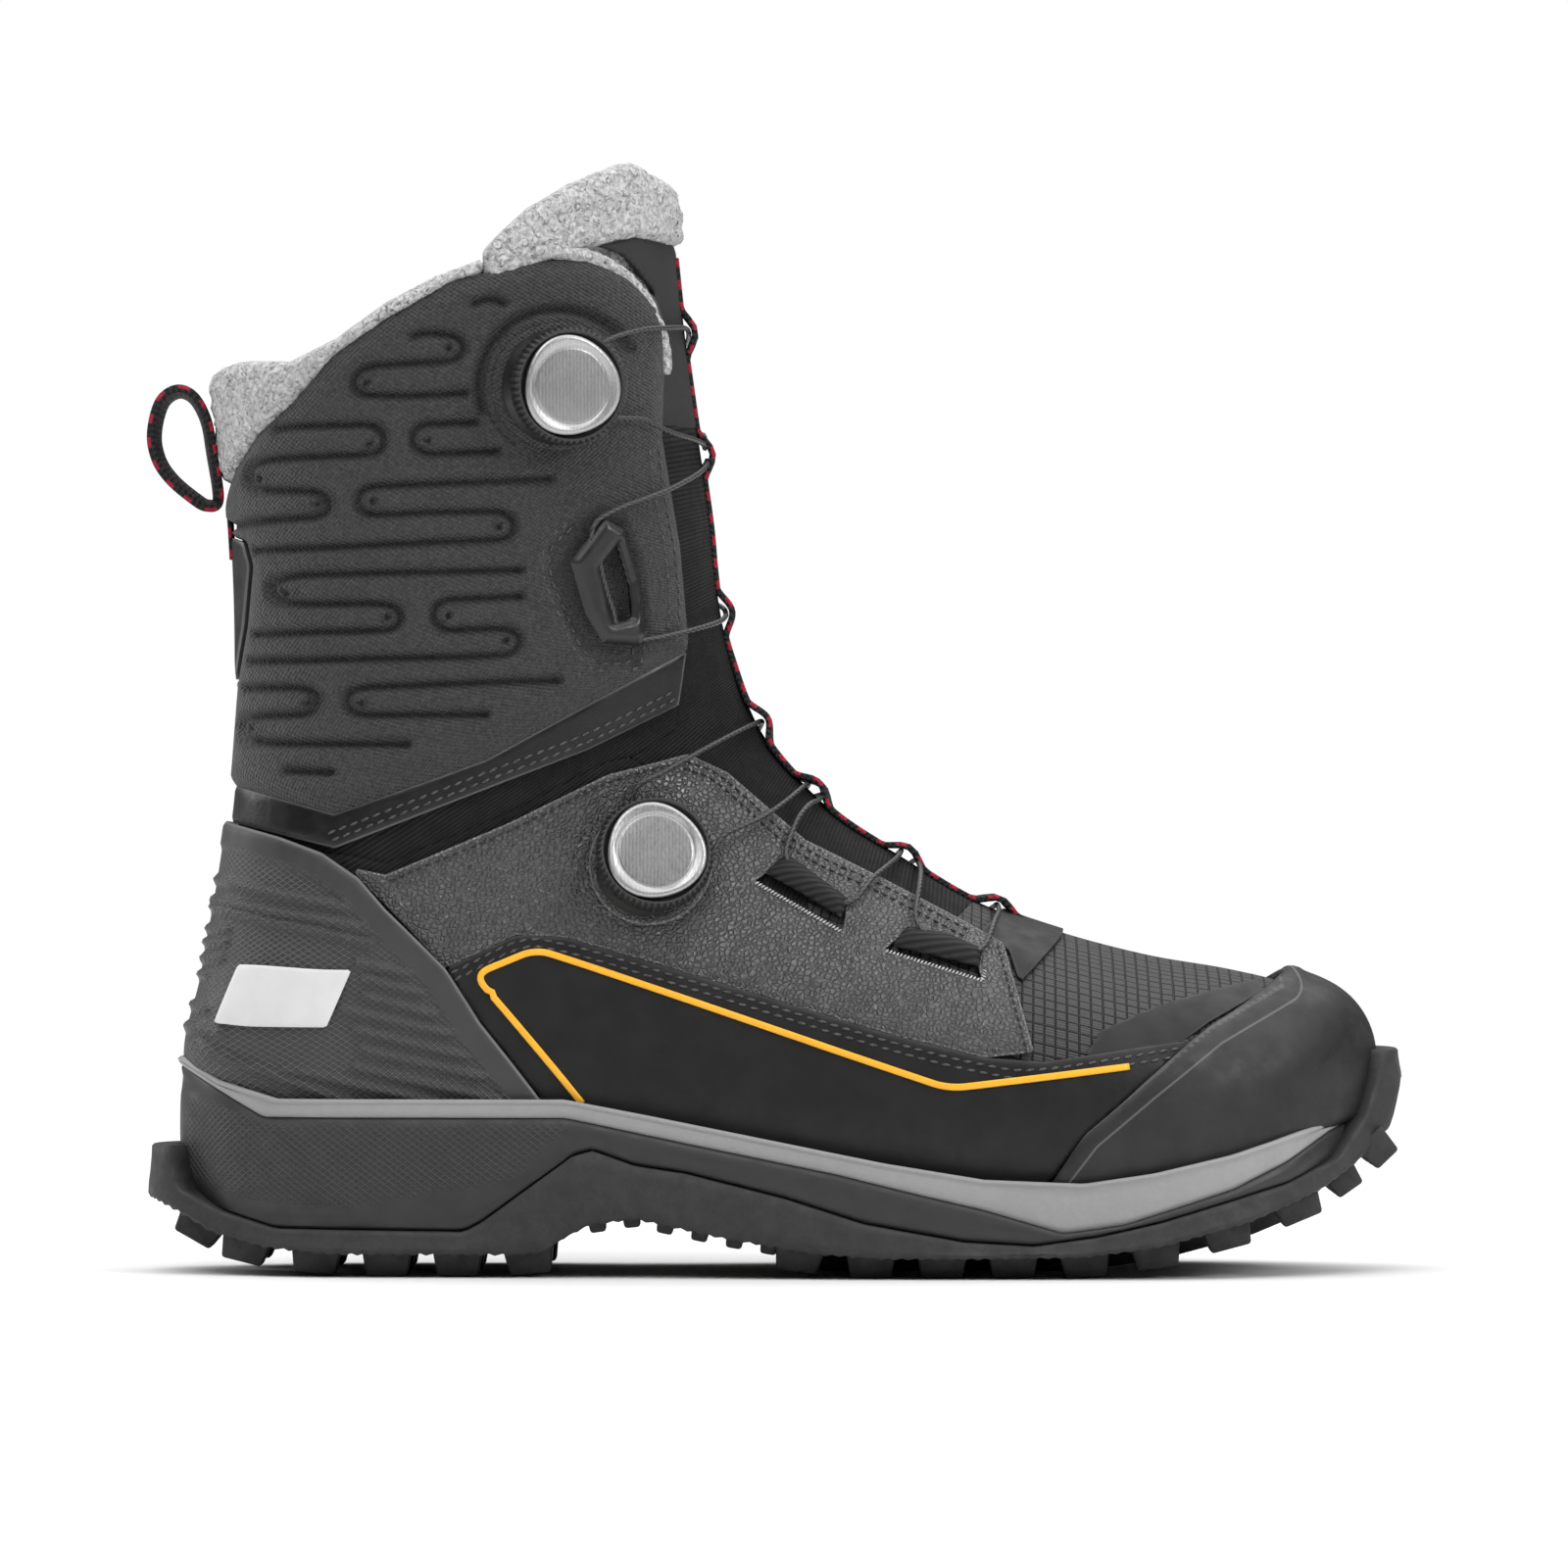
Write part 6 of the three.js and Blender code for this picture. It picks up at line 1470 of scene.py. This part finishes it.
# heights of the lace's middle over the last: on cloth, on an overlay, and inside a guide
laceSize = {"radius": 0.65, "clear": 0.35, "gap": 0.3, "guide": 3.4}
onCloth = laceSize["clear"] + laceSize["radius"] + laceSize["gap"]
onPadding = surfaceLift["padding"] + onCloth
onLeather = surfaceLift["leather"] + onCloth + 0.8
inPadGuide = surfaceLift["padding"] + laceSize["gap"] + laceSize["guide"] / 2
inLeatherGuide = surfaceLift["leather"] + laceSize["gap"] + laceSize["guide"] / 2
over = 2 * laceSize["radius"] + laceSize["clear"] + laceSize["gap"]  # where one run crosses another
laces = {
    "upper": {"exits": (47, -32), "middle": (20, 0, 160), "points": [
        [57.6, 233.3, -1, onPadding + 1.2], [73.6, 234.5, 0, onCloth], [60, 226, 1, onPadding],
        [52, 222.5, 1, inPadGuide], [48.5, 219, 1, inPadGuide], [52, 215.5, 1, inPadGuide],
        [60, 209.5, 1, onPadding], [68, 203.2, 1, onPadding], [77.7, 202.4, 0, onCloth], [66, 194.5, -1, onPadding],
        [49.4, 186.6, -1, inPadGuide], [50.2, 178, -1, inPadGuide], [53.6, 164.5, -1, inPadGuide],
        [58.9, 157.2, -1, onPadding - 0.6], [72, 160, -1, onPadding], [83.4, 164.6, 0, onCloth],
        [70, 169, 1, onPadding], [58, 176.5, 1, inPadGuide], [54.5, 180, 1, inPadGuide], [58, 183.5, 1, inPadGuide],
        [63, 194, 1, onPadding + over], [68, 204.8, 1, onPadding + over], [77.3, 205.6, 0, onCloth],
        [67, 208, -1, onPadding], [58.9, 211.5, -1, onPadding + 1.2]]},
    "lower": {"exits": (112, 6), "middle": (90, 0, 60), "points": [
        [60.1, 121.2, -1, onLeather + 1.2], [75, 129, -1, onLeather], [92, 137.1, 0, onCloth], [84, 128, 1, onLeather],
        [77, 121, 1, inLeatherGuide], [76, 117, 1, inLeatherGuide], [80, 114.5, 1, inLeatherGuide],
        [94, 115.5, 1, onLeather], [105.8, 117.2, 0, onCloth], [100.5, 111, -1, onLeather],
        [98, 102.6, -1, onLeather - 0.6], [104.5, 96.2, -1, 2.0], [112.6, 90.8, -1, 2.6], [119, 95.5, -1, onLeather],
        [125.2, 101.5, 0, onCloth], [117, 94.5, 1, onLeather], [112, 90.5, 1, inLeatherGuide],
        [112, 87, 1, inLeatherGuide], [116, 87, 1, inLeatherGuide], [128.8, 99, 0, onCloth], [130.2, 94, -1, onLeather],
        [129.8, 86.0, -1, onLeather - 0.6], [137, 81.8, -1, 2.0], [145.0, 78.6, -1, 2.6],
        [149.0, 84.5, -1, onLeather], [151, 90.5, 0, onCloth], [145, 84, 1, onLeather], [138, 78.5, 1, inLeatherGuide],
        [133, 78, 1, inLeatherGuide], [129, 80.5, 1, inLeatherGuide], [118, 82, 1, onLeather], [104, 95, 1, onLeather],
        [97, 111, 1, onLeather + over], [102.6, 120.2, 0, onCloth], [93, 112, -1, onLeather],
        [82.6, 106.6, -1, onLeather + 1.2]]},
}


def laceRoute(which):
    settled = []
    for x, z, side, height in laces[which]["points"]:
        if side:
            t, a = locate([[x, z]], side)
            settled.append([t[0], a[0], height])
        else:
            settled.append([frontStation(x, z), 0.0, height])
    path = nonuniform(settled, 3 * (len(settled) - 1) + 1)
    surface = offSkin(path[:, 0], path[:, 1], path[:, 2])
    first, last = laces[which]["exits"]
    leave = [[dialPoint(which, turn, dial["spool"] - 0.6, dial["lace"]),
              dialPoint(which, turn, dial["housing"] + 0.8, dial["lace"])] for turn in (first, last)]
    return nonuniform([*leave[0], *surface, *leave[1][::-1]], 620)


for which in laces:
    route = laceRoute(which)
    print(f"{which} lace, {cumulative(route)[-1]:.0f} mm long")
    bm, uv = strip(route, route - laces[which]["middle"], roundSection(laceSize["radius"]))
    finishPiece(f"{which}Lace", bm, finishes["lace"], [f"{which}_lace"], uv=uv)
print("made the laces")

# guides and loops
guideFrame = [[43.8, 176.9], [51.5, 187.8], [56.2, 184.6], [60, 171], [61.2, 158.5], [59.6, 155.8], [51.5, 156.6],
              [47.5, 163.5]]
guideWindow = [[51.0, 175.5], [54.8, 181.3], [57.6, 171.6], [58.0, 162.5], [54.2, 161.5]]
layPanel("upperLaceGuide", ["upper_lace_guide"], "mouldedPlastic",
         {"level": region(("in", guideFrame), ("out", guideWindow)), "side": "outer", "top": 7.3, "thick": 3.4,
          "spacing": 0.7, "roll": 2.2, "drop": 1.5, "edge": 0.3, "weave": sideUv})
loops = {
    "innerGuide1": ("inner_guide_1", [[46, 213.5], [46, 224.5], [55, 226], [55, 212]], "inner", 4.3),
    "innerGuide2": ("inner_guide_2", [[52, 175], [52, 185], [60.5, 187], [60.5, 173]], "inner", 4.3),
    "innerGuide3": ("inner_guide_3", [[73.5, 113], [73.5, 124], [81, 127], [84, 112]], "inner", 1.9),
    "innerGuide4": ("inner_guide_4", [[109.5, 84], [109.5, 93.5], [115, 93.5], [119, 85]], "inner", 1.9),
    "innerGuide5": ("inner_guide_5", [[126, 76], [126, 84], [139, 82], [140, 75]], "inner", 1.9),
    "slotLoopRear": ("slot_loop_rear", [[93.0, 98.6], [98.4, 103.2], [114.2, 91.6], [112.0, 87.4], [104, 92.4]],
                     "outer", 0.6),
    "slotLoopFront": ("slot_loop_front", [[124.5, 80.6], [128.0, 85.2], [138, 83.2], [146.6, 79.4], [145.6, 75.2]],
                      "outer", 0.6),
}
for name, (node, outline, side, surface) in loops.items():
    layPanel(name, [node], "webbing",
             {"level": region(("in", outline)), "side": side, "top": surface + 3.5, "thick": 3.2, "spacing": 0.9,
              "roll": 3.0, "drop": 1.8, "weave": sideUv})

pullLoop = {"width": 9.6, "thick": 2.0, "corner": 0.5, "lean": 9, "steps": 90}
pullLoopLine = [[-43.5, 193.0], [-45.2, 205], [-46.6, 212.6], [-49.6, 218.2], [-53.6, 219.9], [-57.6, 217.0],
                [-59.5, 209.4], [-58.4, 203.0], [-55.0, 197.9], [-49.6, 193.3], [-46.2, 191.4]]
loopPoints = np.array(pullLoopLine, float)
loopRound = np.vstack([loopPoints[-3:], loopPoints, loopPoints[:4]])
loopFine = smoothRows(loopRound, np.linspace(3, 3 + len(loopPoints), pullLoop["steps"], endpoint=False))
loopCentres = np.stack([loopFine[:, 0], 0 * loopFine[:, 0], loopFine[:, 1]], 1)
loopAhead = np.roll(loopCentres, -1, 0) - np.roll(loopCentres, 1, 0)
loopOut = np.cross(loopAhead, (0, 1, 0))
if (loopOut * (loopCentres - loopCentres.mean(0))).sum() < 0:
    loopOut = -loopOut
lean = math.radians(pullLoop["lean"])
loopOut = loopOut / np.linalg.norm(loopOut, axis=1, keepdims=True) * math.cos(lean) + np.array((0, math.sin(lean), 0))
loopSection = np.array(flatSection(pullLoop["width"], pullLoop["thick"], pullLoop["corner"]))
bm, uv = strip(loopCentres, loopOut, loopSection - (0, pullLoop["thick"] / 2), closed=True)
finishPiece("pullLoop", bm, finishes["tracerWebbing"], ["pull_loop"], rides="pull_loop", uv=uv)

tab = {"foot": 176, "top": 191, "lift": 2.2, "thick": 1.2, "corner": 0.4}
tabT = np.linspace(16.4, 19.0, 30)
tabPoints = offSkin(tabT, np.pi, np.full(len(tabT), tab["lift"]))
keep = (tabPoints[:, 2] > tab["foot"]) & (tabPoints[:, 2] < tab["top"])
tabSection = flatSection(pullLoop["width"], tab["thick"], tab["corner"])
bm, uv = strip(tabPoints[keep], skinNormal(tabT, np.pi)[keep], tabSection)
finishPiece("pullLoopTab", bm, finishes["tracerWebbing"], ["pull_loop_tab"], uv=uv)


def easedLine(line, spacing, reach):
    # straight runs with their corners rounded by averaging along the line
    line = np.array(line, float)
    lengths = cumulative(line)
    step = 0.25
    marks = np.linspace(0, lengths[-1], int(lengths[-1] / step))
    fine = np.stack([np.interp(marks, lengths, line[:, k]) for k in range(2)], 1)
    wide = int(reach / step)
    longer = np.vstack([2 * fine[0] - fine[wide:0:-1], fine, 2 * fine[-1] - fine[-2:-wide - 2:-1]])
    sums = np.cumsum(np.vstack([[[0, 0]], longer]), 0)
    eased = (sums[2 * wide + 1:] - sums[:-2 * wide - 1]) / (2 * wide + 1)
    return eased[::int(spacing / step)]


pipingRow = easedLine([[48.6, 43.5], [21.6, 74.8], [36.8, 80.9], [138.5, 47.0], [183.4, 51.6]], 1.25, 4.0)
for side, sign in (("outer", -1), ("inner", 1)):
    points, normals = routeOnSkin(pipingRow, sign, 2.0, smooth=False)
    finishPiece(f"piping_{side}", sweep(points, normals, strapSection(1.7, 0.85, 0.35)), finishes["piping"],
                [f"piping_{side}"])
fringeLine = roundedLine([[36, 252.4], [41, 252.7], [48, 251.7], [54, 249.4], [58.8, 245.6], [62.6, 240.6],
                          [65.4, 234.2], [66.8, 228], [67.1, 223.5]], 1.0)
for side, sign in (("outer", -1), ("inner", 1)):
    points, normals = routeOnSkin(fringeLine, sign, 1.9, smooth=False)
    bm = sweep(points, normals, roundSection(1.7))
    spots = np.array([v.co for v in bm.verts])
    rough = pileNoise(spots * 1.4)
    for v, amount in zip(bm.verts, rough):
        v.co += Vector((0.5, -0.2, 0.5)) * amount
    finishPiece(f"fleeceFringe_{side}", bm, finishes["fleece"], [])
print("made guides, loops and piping")

# stitching
looks = {
    "twin": {"pitch": 3.1, "length": 2.5, "width": 0.75, "slant": 0.12},
    "fine": {"pitch": 2.4, "length": 1.8, "width": 0.6},
    "zigzag": {"pitch": 0.9, "length": 1.4, "width": 0.5, "slant": 1.2},
}
seams = []
for side in (-1, 1):
    for away in (-1.7, -3.5):
        seams.append((movedLine(randTop, away), side, 2.2, "twin"))
    for away in (-2.0, -3.8):
        seams.append((movedLine(quarterTop[4:9], away), side, 2.1, "fine"))
    seams.append((movedLine(quarterTop[1:5], -1.8), side, 2.1, "fine"))
    seams.append((movedLine(quarterTop[9:], -1.8), side, 2.1, "fine"))
    for away in (-2.0, -3.9):
        seams.append((movedLine(bandFoot[:4], away), side, 2.0, "twin"))
    for away in (2.8, 5.2):
        front = [[67.5, 205], [68.5, 195], [71.3, 180], [72.6, 166], [72.0, 157]]
        seams.append(([[x - away, z] for x, z in front], side, 4.0 if away > 4 else 3.75, "twin"))
    seams.append((movedLine(stayFront[:5], 1.6), side, 2.0, "fine"))
for away, height in ((1.0, 3.35), (2.9, 2.1)):
    seams.append((movedLine(guideRecess[:8], away), -1, height, "twin"))
seams.append((ringLine(dialSpots["upper"], 17.6, 130, 235), -1, 4.1, "fine"))
for look, finish in (("twin", "thread"), ("fine", "darkThread")):
    rows = [stitchRow(line, side, height, looks[look]) for line, side, height, kind in seams if kind == look]
    finishPiece(f"{look}Stitching", join(rows), finishes[finish], [])
slotEdges = [[[90.9, 96.5], [111.9, 84.5]], [[122.9, 79.7], [146.6, 72.1], [147.2, 74.5]]]
bms = [stitchRow(edge, -1, 1.9, looks["zigzag"], smooth=False) for edge in slotEdges]
finishPiece("slotStitching", join(bms), finishes["paleThread"], [])
print("sewn")

# floor, light and camera
studio = {"floor": 3.2, "distance": 2.6, "frameWidth": 0.3925, "aimX": 0.0981, "aimZ": 0.1217}
bm = bmesh.new()
bmesh.ops.create_grid(bm, x_segments=2, y_segments=2, size=studio["floor"] / 2)
floorMesh = bpy.data.meshes.new("floor")
bm.to_mesh(floorMesh)
bm.free()
floor = bpy.data.objects.new("floor", floorMesh)
bpy.context.scene.collection.objects.link(floor)
paleFloor = {"colour": grey(0.86), "rough": 0.9, "tints": [("noise", 400.0, 0.1, grey(0.84))]}
floorMesh.materials.append(newMaterial("paleFloor", paleFloor))

world = bpy.data.worlds.new("studio")
bpy.context.scene.world = world
world.use_nodes = True
sky = world.node_tree.nodes["Background"]
sky.inputs[0].default_value = (1.0, 1.0, 1.0, 1)
seen = world.node_tree.nodes.new("ShaderNodeLightPath")
strength = world.node_tree.nodes.new("ShaderNodeMapRange")
strength.inputs["To Min"].default_value = 0.12  # what lights the boot
strength.inputs["To Max"].default_value = 1.0  # what shows behind it
world.node_tree.links.new(seen.outputs["Is Camera Ray"], strength.inputs["Value"])
world.node_tree.links.new(strength.outputs[0], sky.inputs[1])

lights = {
    "key": {"at": (-0.35, -1.3, 1.35), "aim": (0.08, 0, 0.12), "size": 1.1, "power": 9},
    "front": {"at": (1.3, -0.9, 0.9), "aim": (0.1, 0, 0.12), "size": 0.7, "power": 11},
    "ceiling": {"at": (0.1, 0.7, 2.2), "aim": (0.1, 0.7, 0), "size": 5.0, "power": 118},
    "rear": {"at": (-1.3, 0.7, 0.7), "aim": (0, 0, 0.15), "size": 0.8, "power": 6},
}
for name, settings in lights.items():
    data = bpy.data.lights.new(name, "AREA")
    data.shape = "DISK"
    data.size = settings["size"]
    data.energy = settings["power"]
    lamp = bpy.data.objects.new(name, data)
    bpy.context.scene.collection.objects.link(lamp)
    lamp.location = settings["at"]
    towards = Vector(settings["aim"]) - Vector(settings["at"])
    lamp.rotation_euler = towards.to_track_quat("-Z", "Y").to_euler()

bpy.context.scene.view_settings.view_transform = "Standard"
cameraData = bpy.data.cameras.new("camera")
cameraData.sensor_width = 36
cameraData.lens = 36 * studio["distance"] / studio["frameWidth"]
cameraData.clip_end = 50
camera = bpy.data.objects.new("camera", cameraData)
bpy.context.scene.collection.objects.link(camera)
camera.location = (studio["aimX"], -studio["distance"], studio["aimZ"])
camera.rotation_euler = (math.pi / 2, 0, 0)
bpy.context.scene.camera = camera
